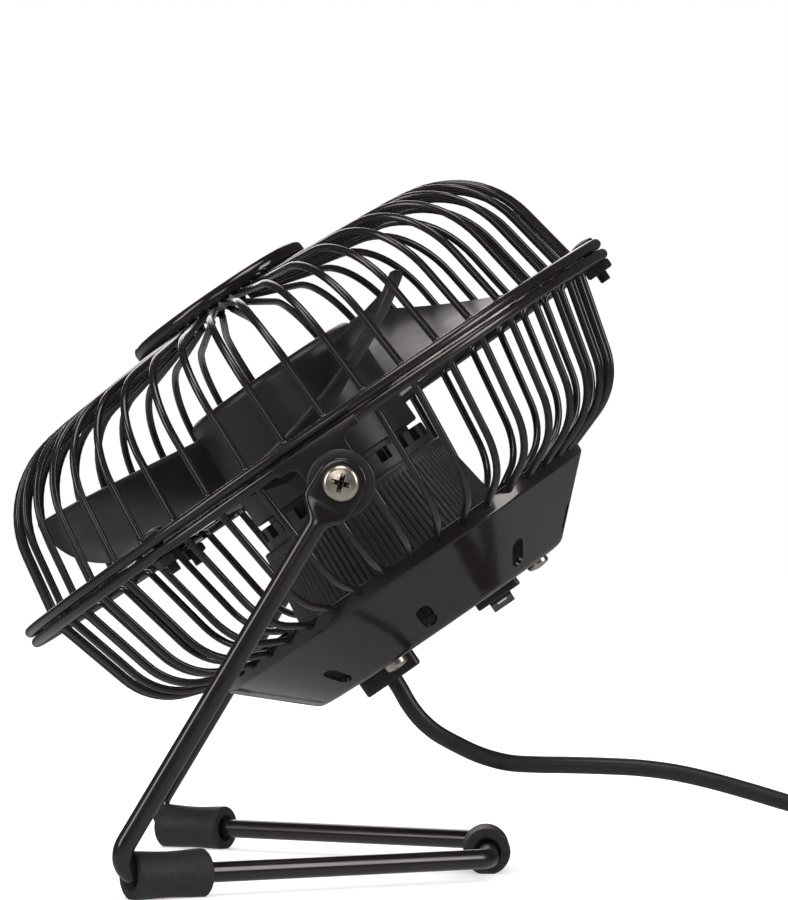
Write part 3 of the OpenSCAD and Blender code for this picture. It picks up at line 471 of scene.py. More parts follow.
def cord_path():
    head_mm = Matrix.Scale(1 / MM, 4) @ HEAD
    start = [head_mm @ Vector((0, -CORD_Y, inside - CORD_EXIT)) for inside in (2, 0.5, 0)]
    coil = coil_path()
    route = [Vector(p) + Vector((0, PIVOT.y, 0)) for p in CORD_ROUTE]
    tail = [Vector(p) + Vector((0, TAIL_Y, 0)) for p in TAIL_ROUTE]
    lead = through(start + route + coil[:2], 6)
    end = through(coil[-2:] + tail + [tail[-1] + Vector((2, 0, 0.1))], 6)
    return lead[:-1] + coil + end[1:]


def section(x, width, high, radius, step=15.0):
    """A rounded rectangle that stands across the X axis at x."""
    return [Vector((x, p.x, p.y)) for p in rectangle(width, high, radius, step)]


def make_plug_grip():
    """The moulded grip, with a ribbed relief."""
    shape = Shape()
    relief, grip, wide, thick = 6.0, 18.0, 15.4, 7.6
    rows = []
    for k in range(13):
        x = relief * k / 12
        ridge = 0.28 if k % 4 in (1, 2) else 0
        r = 2.45 + 0.75 * k / 12 - 0.28 + ridge
        rows.append([Vector((x, r * math.cos(math.radians(a)), r * math.sin(math.radians(a))))
                     for a in range(0, 360, 15)])
    shape.grid(rows)
    body = []
    for x, inset in [(relief - 0.4, 3.2), (relief, 1.3), (relief + 0.35, 0.5), (relief + 1.1, 0.0),
                     (relief + grip - 0.5, 0.0), (relief + grip - 0.15, 0.15), (relief + grip, 0.5)]:
        corner = 1.9 if inset < 1 else 1.4
        body.append(section(x, wide - 2 * inset, thick - 2 * min(inset, 1.6), corner))
    shape.grid(body)
    return shape


def make_cord():
    path = cord_path()
    shape = Shape()
    tube(shape, path, CORD_D / 2, sides=12, first_side=(1, 0, 0))
    cord = make_object("cord", shape)
    smooth(cord, 60)
    cord.data.materials.append(CORD_JACKET)
    plug_place = ROW @ at(PLUG_X, TAIL_Y, PLUG_Z)
    grip = make_object("plug_body", make_plug_grip(), plug_place)
    settle(grip, "stand", SWITCH_PLASTIC, ["plug_grip"])

    length, width, high, sheet = 12.0, 12.0, 4.5, 0.3
    shell = Shape()
    rows = []
    for x, grow in ((0, 0), (length - 0.5, 0), (length, -0.12)):
        rows.append(section(x, width + 2 * grow, high + 2 * grow, 0.7, 30))
    for x, grow in ((length, -0.12 - sheet), (length - 0.5, -sheet), (0, -sheet)):
        rows.append(section(x, width + 2 * grow, high + 2 * grow, 0.45, 30))
    shell.grid(rows, close=True)
    shell_place = ROW @ at(PLUG_X + 24, TAIL_Y, PLUG_Z)
    metal = make_object("plug_metal", shell, shell_place)
    windows = Shape()
    for side in (-1, 1):
        slab(windows, rectangle(2.2, 2.2, 0.3), -high, high, place=at(length - 5.3, side * 2.8, 0))
    cut(metal, windows, shell_place)
    settle(metal, "stand", NICKEL, ["plug_shell"])

    tongue = Shape()
    slab(tongue, rectangle(11.2, 11.2, 0.4), -1.95, -0.05, 0.2, place=at(5.6, 0, 0))
    carrier = make_object("plug_carrier", tongue, shell_place)
    settle(carrier, "stand", WHITE_PLASTIC, ["plug_tongue"])
    contacts = Shape()
    for y in (-3.5, -1.2, 1.2, 3.5):
        slab(contacts, rectangle(8.4, 1.1, 0.3), -0.07, 0.12, 0.08, place=at(6.3, y, 0))
    pads = make_object("plug_contacts", contacts, shell_place)
    settle(pads, "stand", BRASS)

    side = 3 * CORD_D
    tie = Shape()
    wide, thin = 6.0, 0.8
    rows = []
    for y, grow in ((-wide / 2, 0.12), (-wide / 2 + 0.3, thin), (wide / 2 - 0.3, thin), (wide / 2, 0.12),
                    (wide / 2 - 0.1, 0.06), (-wide / 2 + 0.1, 0.06)):
        outline = rectangle(side + 2 * grow, side + 2 * grow, CORD_D / 2 + grow, 10)
        rows.append([Vector((p.x, y, p.y)) for p in outline])
    tie.grid(rows, close=True)
    band = make_object("tie_band", tie, ROW @ at(COIL_CENTRE.x + 19, COIL_CENTRE.y, COIL_LOW + side / 2))
    settle(band, "stand", RUBBER, ["cord_tie"])

    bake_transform(cord)
    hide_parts("cord_drop", "cord_run", "cord_coil", "cord_tail")


make_cord()


# ---- lathe normals

def lathe_normals(thing, place, limit=40.0):
    """Gives a turned and cut piece the normals of its uncut surface, so gloss runs past the cuts."""
    mesh = thing.data
    back = place.inverted()
    turn = place.to_3x3().normalized()
    unturn = turn.inverted()
    points = [back @ v.co for v in mesh.vertices]
    outline = []
    around = [[] for _ in points]
    for polygon in mesh.polygons:
        n = unturn @ polygon.normal
        c = back @ polygon.center
        a = math.atan2(c.y, c.x)
        out = n.x * math.cos(a) + n.y * math.sin(a)
        across = n.y * math.cos(a) - n.x * math.sin(a)
        turned_face = abs(across) < 0.2
        flat = Vector((math.copysign(math.hypot(n.x, n.y), out), n.z))
        outline.append(flat if turned_face else None)
        for v in polygon.vertices:
            around[v].append(polygon.index)
    least = math.cos(math.radians(limit))
    normals = []
    for polygon in mesh.polygons:
        own = outline[polygon.index]
        for v in polygon.vertices:
            if own is None:
                normals.append(polygon.normal)
                continue
            total = Vector((0, 0))
            for i in around[v]:
                other = outline[i]
                if other is not None and other.dot(own) > least:
                    total += other * mesh.polygons[i].area
            total = total.normalized() if total.length > 0 else own
            a = math.atan2(points[v].y, points[v].x)
            normals.append(turn @ Vector((total.x * math.cos(a), total.x * math.sin(a), total.y)))
    mesh.shade_smooth()
    mesh.normals_split_custom_set(normals)


# ---- cage

RING_R = 70.15
RING_ROD_R = 1.05
RING_Z = 1.2
RING_FACE = RING_Z + RING_ROD_R
WIRE_R = 0.775
WIRE_COUNT = 44
WIRE_PITCH = 360 / WIRE_COUNT
FOOT_R = RING_R - RING_ROD_R + 0.1
FOOT_Z = RING_Z
FOOT_BEND = 2.0
WIRE_OUT = 64.5
DISC_Z = 34.2
DISC_R = 19.7
CUP_RIM = 44.0
CUP_LIP_Z = -28.62


def side_meets_face(lean, end, slope):
    """The corner between a wire's side, which leans inwards, and its face, which slopes down."""
    t1, t2 = math.tan(math.radians(lean)), math.tan(math.radians(slope))
    z = (end[1] - (WIRE_OUT + FOOT_Z * t1 - end[0]) * t2) / (1 - t1 * t2)
    return WIRE_OUT - (z - FOOT_Z) * t1, z


def make_wires(name, sign, lean, end, slope, bend_r, node):
    """Forty-four bent wires, each with a spot weld on the ring and one at its inner end."""
    corner = side_meets_face(lean, end, slope)
    corners = [(FOOT_R, FOOT_Z), (WIRE_OUT, FOOT_Z), corner, end]
    path = rounded([(r, 0, sign * z) for r, z in corners], [0, FOOT_BEND, bend_r, 0], 6)
    shape = Shape()
    for i in range(WIRE_COUNT):
        place = spin((i + 0.5) * WIRE_PITCH)
        tube(shape, path, WIRE_R, sides=14, rim=0.25, place=place)
    for i in range(WIRE_COUNT):
        place = spin((i + 0.5) * WIRE_PITCH)
        for side in (-1, 1):
            blob(shape, (FOOT_R - 0.1, side * 0.5, sign * RING_Z), (0.45, 0.65, 0.8), place)
            away = 1 if sign > 0 else -0.2
            inner = (end[0] + away, side * 0.5, sign * (end[1] + 0.45 * sign))
            blob(shape, inner, (0.85, 0.6, 0.35), place)
    wires = make_object(name, shape, HEAD)
    return settle(wires, "head", ENAMEL, [node], 60)


def make_rings():
    for name, sign, node in (("front_rim", 1, "front_ring"), ("rear_rim", -1, "rear_ring")):
        centre = Vector((RING_R, sign * RING_Z))
        shape = Shape()
        lathe(shape, [centre + p.to_2d() for p in circle(RING_ROD_R, 16)], 220)
        settle(make_object(name, shape, HEAD), "head", ENAMEL, [node], 60)


def arc2(centre, r, start, end, steps):
    """Points of an arc in (radius, height), for a lathe's outline."""
    steps_at = [math.radians(start + (end - start) * i / steps) for i in range(steps + 1)]
    return [(centre[0] + r * math.cos(a), centre[1] + r * math.sin(a)) for a in steps_at]


def make_badge():
    """The disc behind the wires' ends and the shallow pressed cap over it."""
    plate = Shape()
    lathe(plate, [(0.001, DISC_Z)] + arc2((DISC_R - 0.25, DISC_Z + 0.25), 0.25, -90, 0, 3)
          + arc2((DISC_R - 0.25, DISC_Z + 0.55), 0.25, 0, 90, 3) + [(0.001, DISC_Z + 0.8)], 96)
    disc = make_object("wire_disc", plate, HEAD)
    settle(disc, "head", ENAMEL, ["front_disc"])
    r, top, round_r, sheet = 20.5, DISC_Z + 2.9, 1.6, 0.8
    step_r = 15.6
    outline = [(0.001, top - 0.25)]
    outline += [(step_r - 1.2, top - 0.25)]
    outline += arc2((step_r - 1.2, top + 0.35), 0.6, -90, -45, 3)
    outline += arc2((step_r + 0.25, top - 0.6), 0.6, 125, 90, 3)
    outline += arc2((r - round_r, top - round_r), round_r, 90, 0, 10)
    outline += [(r, DISC_Z + 0.3), (r - 0.2, DISC_Z + 0.02), (r - sheet, DISC_Z + 0.1)]
    outline += arc2((r - round_r - 0.1, top - round_r), round_r - 0.8, 0, 90, 5)
    outline += [(0.001, top - sheet - 0.25)]
    cap = Shape()
    lathe(cap, outline, 128)
    badge = make_object("badge_cap", cap, HEAD)
    settle(badge, "head", CUP_ENAMEL, ["front_badge"], 50)


CUP_SHEET = 0.8
CUP_DEPTH = 45.1
CUP_FLOOR_R = 28.5
CUP_CONE = 47.0
CUP_EDGE = 3.2
VENT_COUNT = 9
VENT_Z = -41.2
SCREW_R = 23.4
SCREW_ANGLES = (90, 210, 330)
SWITCH_Y = 13.0


def cup_line(inset, steps):
    """The cup's outline from its lip to the middle of its floor, moved inwards by inset."""
    edge = arc2((CUP_FLOOR_R, CUP_EDGE - CUP_DEPTH), CUP_EDGE - inset, -CUP_CONE, -90, steps)
    rise = (CUP_RIM - inset - edge[0][0]) / math.tan(math.radians(CUP_CONE))
    return [(CUP_RIM - inset, edge[0][1] + rise)] + edge + [(0.001, inset - CUP_DEPTH)]


def softened(points, radii, steps=5):
    """An outline in (radius, height) with rounded corners."""
    path = rounded([(p[0], p[1], 0) for p in points], radii, 90 / steps)
    return [(p.x, p.y) for p in path]


def make_cup():
    outside = cup_line(0, 12)
    inside = cup_line(CUP_SHEET, 8)
    lip = [(CUP_RIM - CUP_SHEET, CUP_LIP_Z + 0.02), (CUP_RIM - 0.15, CUP_LIP_Z)]
    rim = softened([(CUP_RIM, CUP_LIP_Z - 0.2), outside[0], outside[1]], [0, 1.1, 0])
    shape = Shape()
    lathe(shape, lip + rim[:-1] + outside[1:] + inside[::-1], 180)
    cup = make_object("cup_shell", shape, HEAD)
    slope = math.radians(CUP_CONE)
    foot = outside[1]
    vent_r = foot[0] + (VENT_Z - foot[1]) * math.tan(slope)
    cutter = Shape()
    long, wide = 6.4, 3.3
    for i in range(VENT_COUNT):
        place = (spin(i * 360 / VENT_COUNT - 2) @ at(vent_r, 0, VENT_Z)
                 @ Matrix.Rotation(math.pi / 2 + slope, 4, "Y"))
        slab(cutter, rectangle(long, wide, wide / 2 - 0.01, 10), -3, 3, place=place)
    for angle in SCREW_ANGLES:
        slab(cutter, circle(1.4, 24), -2, 3, place=spin(angle) @ at(SCREW_R, 0, -CUP_DEPTH))
    slab(cutter, rectangle(12.9, 8.7, 0.4), -2, 3, place=at(0, SWITCH_Y, -CUP_DEPTH))
    slab(cutter, circle(CORD_D / 2 + 0.2, 24), -2, 3, place=at(0, -CORD_Y, -CUP_DEPTH))
    for side in (-1, 1):
        slab(cutter, circle(1.16, 20), -2, 3, place=at(0, side * 4.9 - CORD_Y, -CUP_DEPTH))
    cut(cup, cutter, HEAD)
    settle(cup, "head", CUP_ENAMEL, ["rear_cup"])
    lathe_normals(cup, HEAD)


BOLT_R = 67.8
BOLT_ANGLES = (90, 212, -32)
TAB_T = 1.1


def hex_nut(shape, flats, bore, high, place):
    """A hexagon nut with both faces chamfered and a countersunk bore."""
    count = 72
    corner = flats / 2 / math.cos(math.pi / 6)
    face_r = flats / 2 * 0.97
    rim = []
    for a in angles(count):
        inside = (a + math.pi / 6) % (math.pi / 3) - math.pi / 6
        rim.append((a, min(corner, flats / 2 / math.cos(inside))))

    def level(r, z):
        return [polar(r, a, z) for a, _ in rim]

    sink = 0.25
    falls = [max(0, r - face_r) * math.tan(math.radians(30)) for _, r in rim]
    rows = [level(bore / 2 + sink, 0), level(face_r, 0),
            [polar(r, a, fall) for (a, r), fall in zip(rim, falls)],
            [polar(r, a, high - fall) for (a, r), fall in zip(rim, falls)],
            level(face_r, high), level(bore / 2 + sink, high),
            level(bore / 2, high - sink), level(bore / 2, sink)]
    shape.grid(rows, close=True, place=place)


def threaded(shape, r, low, high, pitch, depth, place):
    """A bar with a helical V thread."""
    around = 28
    per_pitch = 8
    count = round((high - low) / pitch * per_pitch)
    rows = []
    for i in range(count + 1):
        z = low + (high - low) * i / count
        end = min(1, (z - low) / 0.5)
        row = []
        for j in range(around):
            phase = (z / pitch - j / around) % 1
            groove = depth * (1 - abs(2 * phase - 1))
            now = min(r - groove, r - depth * 1.2 + depth * 1.2 * end)
            row.append(polar(now, 2 * math.pi * j / around, z))
        rows.append(row)
    shape.grid(rows, place=place)


def pan_head(shape, r, high, dome, edge, place):
    """A flat-domed screw head with a rounded edge, standing on z = 0."""
    shoulder_r = r - edge
    dome_drop = dome - math.sqrt(dome * dome - shoulder_r * shoulder_r)
    shoulder_z = high - dome_drop - edge
    profile = [(0.001, 0), (r - 0.12, 0), (r, 0.12)]
    profile += arc2((shoulder_r, shoulder_z), edge, 0, 80, 8)
    for k in range(7, 0, -1):
        x = shoulder_r * k / 8
        profile.append((x, high - dome + math.sqrt(dome * dome - x * x)))
    profile.append((0.001, high))
    lathe(shape, profile, 64, place)


def make_clamps():
    for name, z, node in (("front_tabs", RING_FACE - TAB_T, "front_clamp_tabs"),
                          ("rear_tabs", -RING_FACE, "rear_clamp_tabs")):
        shape = Shape()
        inner, outer, half = BOLT_R - 3.2, RING_R - 0.35, 3.5
        corners = [(inner, -half), (outer, -half), (outer, half), (inner, half)]
        for angle in BOLT_ANGLES:
            outline = closed_rounded(corners, [1.3, 0.3, 0.3, 1.3])
            slab(shape, outline, z, z + TAB_T, 0.18, place=spin(angle))
        settle(make_object(name, shape, HEAD), "head", ENAMEL, [node])
    bolts = Shape()
    nuts = Shape()
    shank = 2 * RING_FACE + 2 + 1.9
    for angle in BOLT_ANGLES:
        place = spin(angle) @ at(BOLT_R, 0, RING_FACE)
        pan_head(bolts, 2.5, 1.2, 6, 0.6, place)
        threaded(bolts, 1.24, -shank, 0.05, 0.45, 0.2, place)
        hex_nut(nuts, 5, 2.5, 2, spin(angle) @ at(BOLT_R, 0, -RING_FACE - 2) @ spin(30))
    heads = make_object("clamp_screws", bolts, HEAD)
    cross = Shape()
    for angle in BOLT_ANGLES:
        cross_recess(cross, 1.5, 0.5, 0.7, spin(angle) @ at(BOLT_R, 0, RING_FACE + 1.2) @ spin(20))
    cut(heads, cross, HEAD)
    settle(heads, "head", DARK_STEEL, ["clamp_bolts"])
    settle(make_object("clamp_hex_nuts", nuts, HEAD), "head", DARK_STEEL, ["clamp_nuts"])


def cross_recess(shape, reach, width, depth, place):
    """A tapered cross, standing downwards from z = 0, to cut into a screw head."""
    for turn in (0, 90):
        rows = []
        for z, share in ((0.6, 1.12), (0, 1.0), (-depth * 0.7, 0.62), (-depth, 0.3)):
            x, y = reach * share, width / 2 * (0.6 + 0.4 * share)
            rows.append([Vector(p) for p in ((-x, -y, z), (x, -y, z), (x, y, z), (-x, y, z))])
        shape.grid(rows, place=place @ spin(turn))
    slab(shape, circle(width * 0.78, 20), -depth - 0.15, 0.5, place=place)


# ---- pivots

EAR_X = 71.0
EAR_T = 1.5
EAR_R = 5.4
SPACER_X = 72.56
SPACER_T = 2.0
EYE_X = 74.62
EYE_T = 1.6
HEAD_X = 76.28
PIVOT_SIDES = ((1, "right"), (-1, "left"))
MIRROR = Matrix.Scale(-1, 4, (1, 0, 0))


def pivot_place(x):
    """In the head frame, at the pivot, with Z out along the tilt axis."""
    return at(x, 0, -PIVOT_BACK) @ Matrix.Rotation(math.pi / 2, 4, "Y")


def make_pivots():
    plate = Matrix(((0, 0, 1, 0), (1, 0, 0, 0), (0, 1, 0, 0), (0, 0, 0, 1)))
    low = -RING_FACE - 0.6
    foot_x, foot_z = 9.5, -0.45
    radii = [0, 0.5, 1.0, 1.6, 0]
    outline = rounded([(0, foot_z), (-foot_x, foot_z), (-foot_x, low), (-EAR_R, low),
                       (-EAR_R, -PIVOT_BACK)], radii, 15)
    outline += [Vector(p).to_3d() for p in arc2((0, -PIVOT_BACK), EAR_R, 187.5, 352.5, 22)]
    outline += rounded([(EAR_R, -PIVOT_BACK), (EAR_R, low), (foot_x, low), (foot_x, foot_z),
                        (0, foot_z)], radii[::-1], 15)[:-1]
    spacers = Shape()
    screws = Shape()
    nuts = Shape()
    recess = Shape()
    for sign, side in PIVOT_SIDES:
        flip = MIRROR if sign < 0 else Matrix.Identity(4)
        ear = Shape()
        slab(ear, outline, EAR_X, EAR_X + EAR_T, 0.25, 4, place=flip @ plate)
        plate_piece = make_object(side + "_ear_plate", ear, HEAD)
        settle(plate_piece, "head", ENAMEL, [side + "_ear"])
        r, bore, t = 6.6, 2.1, SPACER_T
        profile = [(bore, 0), (r - 0.45, 0)] + arc2((r - 0.4, 0.4), 0.4, -80, 0, 4)
        profile += arc2((r - 0.5, t - 0.5), 0.5, 0, 90, 5) + [(bore + 0.3, t), (bore, t - 0.2)]
        lathe(spacers, profile, 96, flip @ pivot_place(SPACER_X))
        head = flip @ pivot_place(HEAD_X)
        pan_head(screws, 3.5, 2.3, 9, 1.1, head)
        shank = HEAD_X - EAR_X + 3.2 + 0.4
        threaded(screws, 1.95, -shank, 0.05, 0.7, 0.25, head)
        cross_recess(recess, 2.1, 0.95, 1.2, head @ at(0, 0, 2.25) @ spin(40))
        hex_nut(nuts, 7, 4, 3.2, flip @ pivot_place(EAR_X - 3.2))
    settle(make_object("pivot_washers", spacers, HEAD), "head", SPACER_PLASTIC,
           ["pivot_spacers"])
    heads = make_object("pivot_bolts", screws, HEAD)
    cut(heads, recess, HEAD)
    settle(heads, "head", NICKEL, ["pivot_screws"])
    settle(make_object("pivot_hex_nuts", nuts, HEAD), "head", STEEL, ["pivot_nuts"])


# ---- stand

ROD_R = 2.0
ROD_BEND = 5.0
ROD_Z = 4.5
EYE = Vector((EYE_X + EYE_T / 2, PIVOT.y, PIVOT.z))
FRONT_CORNER = Vector((EYE.x - 1.2, PIVOT.y - 44.6, ROD_Z))
TAIL_CORNER = Vector((27.0, PIVOT.y + 29, ROD_Z))


def mirrored(p):
    return Vector((-p.x, p.y, p.z))


def make_stand():
    """One bent rod from eye to eye, flattened at both ends and drilled for the pivot screws."""
    way = (FRONT_CORNER - EYE).normalized()

    def arm(s):
        return Vector((EYE.x + way.x * max(0, s - 5), EYE.y + way.y * s, EYE.z + way.z * s))

    flat_end, flat_from, round_at = 4.9, 4.6, 9.4
    stations = [-flat_end + 0.01, -4.85, -4.7, -4.4, -3.9, -3.2, -2.3, -1.2, 0, 1.2, 2.4, 3.5,
                4.6, 5.2, 5.8, 6.4, 7.0, 7.6, 8.2, 8.8, round_at]
    leg = [arm(round_at), FRONT_CORNER, TAIL_CORNER]
    body = rounded(leg + [mirrored(p) for p in leg[::-1]], [0] + [ROD_BEND] * 4 + [0], 5)
    head = [arm(s) for s in stations]
    path = head[:-1] + body + [mirrored(p) for p in head[:-1][::-1]]
    spans = stations[:-1] + [round_at] * len(body) + stations[:-1][::-1]
    sides = 28
    rows = []
    for point, s, (u, v) in zip(path, spans, sides_along(path, (1, 0, 0))):
        t = min(1, max(0, (s - flat_from) / (round_at - flat_from)))
        share = t * t * (3 - 2 * t)
        wide = math.sqrt(max(0.02, flat_end ** 2 - s * s)) if s < 0 else flat_end
        thin = 0.78 * (1 if s > -4.6 else 0.8)
        wide = wide + (ROD_R - wide) * share
        thin = thin + (ROD_R - thin) * share
        power = 1 if t >= 1 else 0.35 + 0.65 * share
        row = []
        for a in angles(sides):
            c, d = math.cos(a), math.sin(a)
            row.append(point + u * thin * math.copysign(abs(c) ** power, c)
                       + v * wide * math.copysign(abs(d) ** (0.5 + 0.5 * share if share < 1 else 1), d))
        rows.append(row)
    shape = Shape()
    shape.grid(rows)
    rod = make_object("stand_bar", shape)
    holes = Shape()
    for sign in (-1, 1):
        across = at(sign * EYE.x, EYE.y, EYE.z) @ Matrix.Rotation(math.pi / 2, 4, "Y")
        slab(holes, circle(2.08, 40), -3, 3, place=across)
    cut(rod, holes)
    settle(rod, "stand", ENAMEL, ["stand_rod"], 40)


SLEEVE_R = 4.75
SLEEVE_START = 5.4
SLEEVE_L = 16.0


def make_sleeve(name, start, way, length, node, fish_mouth):
    """A rubber sleeve: a soft waist, rounded rims, a wide mouth round the rod and a flat underside."""
    bore = ROD_R + 0.06
    profile = [(bore, 1.2), (bore + 0.75, 0.35), (bore + 0.8, 0.0)]
    profile += [(SLEEVE_R - 0.55, 0.0)] + arc2((SLEEVE_R - 0.5, 0.5), 0.5, -80, 0, 5)
    for k in range(1, 12):
        s = k / 12
        profile.append((SLEEVE_R - 0.32 * math.sin(math.pi * s) ** 1.5, 0.5 + (length - 1) * s))
    profile += arc2((SLEEVE_R - 0.5, length - 0.5), 0.5, 0, 80, 5)
    profile += [(SLEEVE_R - 0.55, length), (bore + 0.8, length)]
    profile += [(bore + 0.75, length - 0.35), (bore, length - 1.2)]
    shape = Shape()
    aim = way.to_track_quat("Z", "Y").to_matrix().to_4x4()
    place = Matrix.Translation(start) @ aim
    lathe(shape, profile, 72, place)
    sleeve = make_object(name, shape)
    floor = Shape()
    slab(floor, rectangle(400, 400, 0), -10, 0)
    cut(sleeve, floor)
    if fish_mouth:
        bar = Shape()
        mid = FRONT_CORNER if start.x > 0 else mirrored(FRONT_CORNER)
        top = (EYE if start.x > 0 else mirrored(EYE)) - mid
        path = rounded([mid + top * 0.5, mid, mid + way * 12], [0, ROD_BEND, 0], 10)
        tube(bar, path, ROD_R + 0.1, sides=20, first_side=(1, 0, 0))
        cut(sleeve, bar)
    settle(sleeve, "stand", RUBBER, [node], 40)


def make_feet():
    way = (TAIL_CORNER - FRONT_CORNER).normalized()
    start = FRONT_CORNER + way * SLEEVE_START
    make_sleeve("right_sleeve", start, way, SLEEVE_L, "right_front_foot", True)
    make_sleeve("left_sleeve", mirrored(start), mirrored(way), SLEEVE_L, "left_front_foot", True)
    rear = Vector((-SLEEVE_L / 2, TAIL_CORNER.y, ROD_Z))
    make_sleeve("rear_sleeve", rear, Vector((1, 0, 0)), SLEEVE_L, "rear_foot", False)


# ---- impeller

HUB_R = 19.8
HUB_FRONT = 17.4
HUB_BACK = 7.4
HUB_WALL = 1.5
TIP_R = 56.5
BLADES = 3
BLADE_TURN = -77
BLADE_SPAN = 72


def blade_mean(t, u):
    """A point on a blade's middle surface: t from root to tip, u from front edge to back edge."""
    root = HUB_R - 0.8
    corner = 9 * (max(0, t - 0.7) / 0.3) ** 2
    a = math.radians(BLADE_TURN - corner - u * (BLADE_SPAN - 1.6 * corner))
    r = root + (TIP_R - root) * t
    z = HUB_FRONT - 3.6 + 4.8 * t - 17.4 * (1 - (1 - u) ** 2) * (0.95 + 0.05 * t)
    return polar(r, a, z)


def make_blade(shape, place):
    across, along = 30, 26
    edge = 0.012
    rim = [edge * k / 3 for k in range(4)]
    middle = [edge + (1 - 2 * edge) * k / across for k in range(1, across)]
    stations = rim + middle + [1 - u for u in rim[::-1]]
    rows = []
    for i in range(along + 4):
        t = min(1, i / along) if i <= along else 1
        full = (1.6 + (1.1 - 1.6) * t) / 2
        tip = {0: 1.0, 1: 0.8, 2: 0.5, 3: 0.15}[max(0, i - along)]
        t = min(t, 1 - 0.006 * (3 - max(0, i - along)) / 3) if i >= along else t * 0.994
        upper, lower = [], []
        for u in stations:
            at_edge = min(u, 1 - u) / edge
            half = full * tip * math.sqrt(max(0.02, 1 - (1 - min(1, at_edge)) ** 2))
            here = blade_mean(t, u)
            du = blade_mean(t, min(1, u + 0.01)) - blade_mean(t, max(0, u - 0.01))
            dt = blade_mean(min(1, t + 0.01), u) - blade_mean(max(0, t - 0.01), u)
            n = du.cross(dt).normalized()
            if n.z < 0:
                n = -n
            upper.append(here + n * half)
            lower.append(here - n * half)
        rows.append(upper + lower[::-1])
    shape.grid(rows, place=place)


def make_impeller():
    bell = Shape()
    outline = [(0.001, HUB_FRONT - 0.5), (6.0, HUB_FRONT - 0.5)]
    outline += [(6.35, HUB_FRONT - 0.15), (6.7, HUB_FRONT)]
    outline += arc2((HUB_R - 2, HUB_FRONT - 2), 2, 90, 0, 10)
    outline += [(HUB_R, -HUB_BACK + 0.3), (HUB_R - 0.3, -HUB_BACK), (HUB_R - HUB_WALL, -HUB_BACK)]
    inner = HUB_FRONT - HUB_WALL
    outline += [(HUB_R - HUB_WALL, inner - 0.8), (HUB_R - HUB_WALL - 0.8, inner), (3.6, inner)]
    outline += [(3.6, -3.8), (3.4, -4), (1.05, -4), (1.05, HUB_FRONT - 3), (0.001, HUB_FRONT - 3)]
    lathe(bell, outline, 144)
    for i in range(3):
        slab(bell, rectangle(HUB_R - 4.5, 1.2, 0.2), 6, inner + 0.3,
             place=spin(i * 120) @ at((HUB_R + 2.5) / 2, 0, 0))
    for i in range(BLADES):
        make_blade(bell, spin(i * 360 / BLADES))
    fan = make_object("fan_wheel", bell, HEAD)
    settle(fan, "impeller", HUB_PLASTIC, ["impeller"], 32)


# ---- motor cover

COVER_R = 21.9
COVER_FRONT = 13.3
COVER_FLARE = 0.139
COVER_WALL = 1.5
COVER_END = CUP_DEPTH - CUP_SHEET
COLLAR_R = 20.2
COLLAR_FRONT = 8.4
WINDOW_COUNT = 24


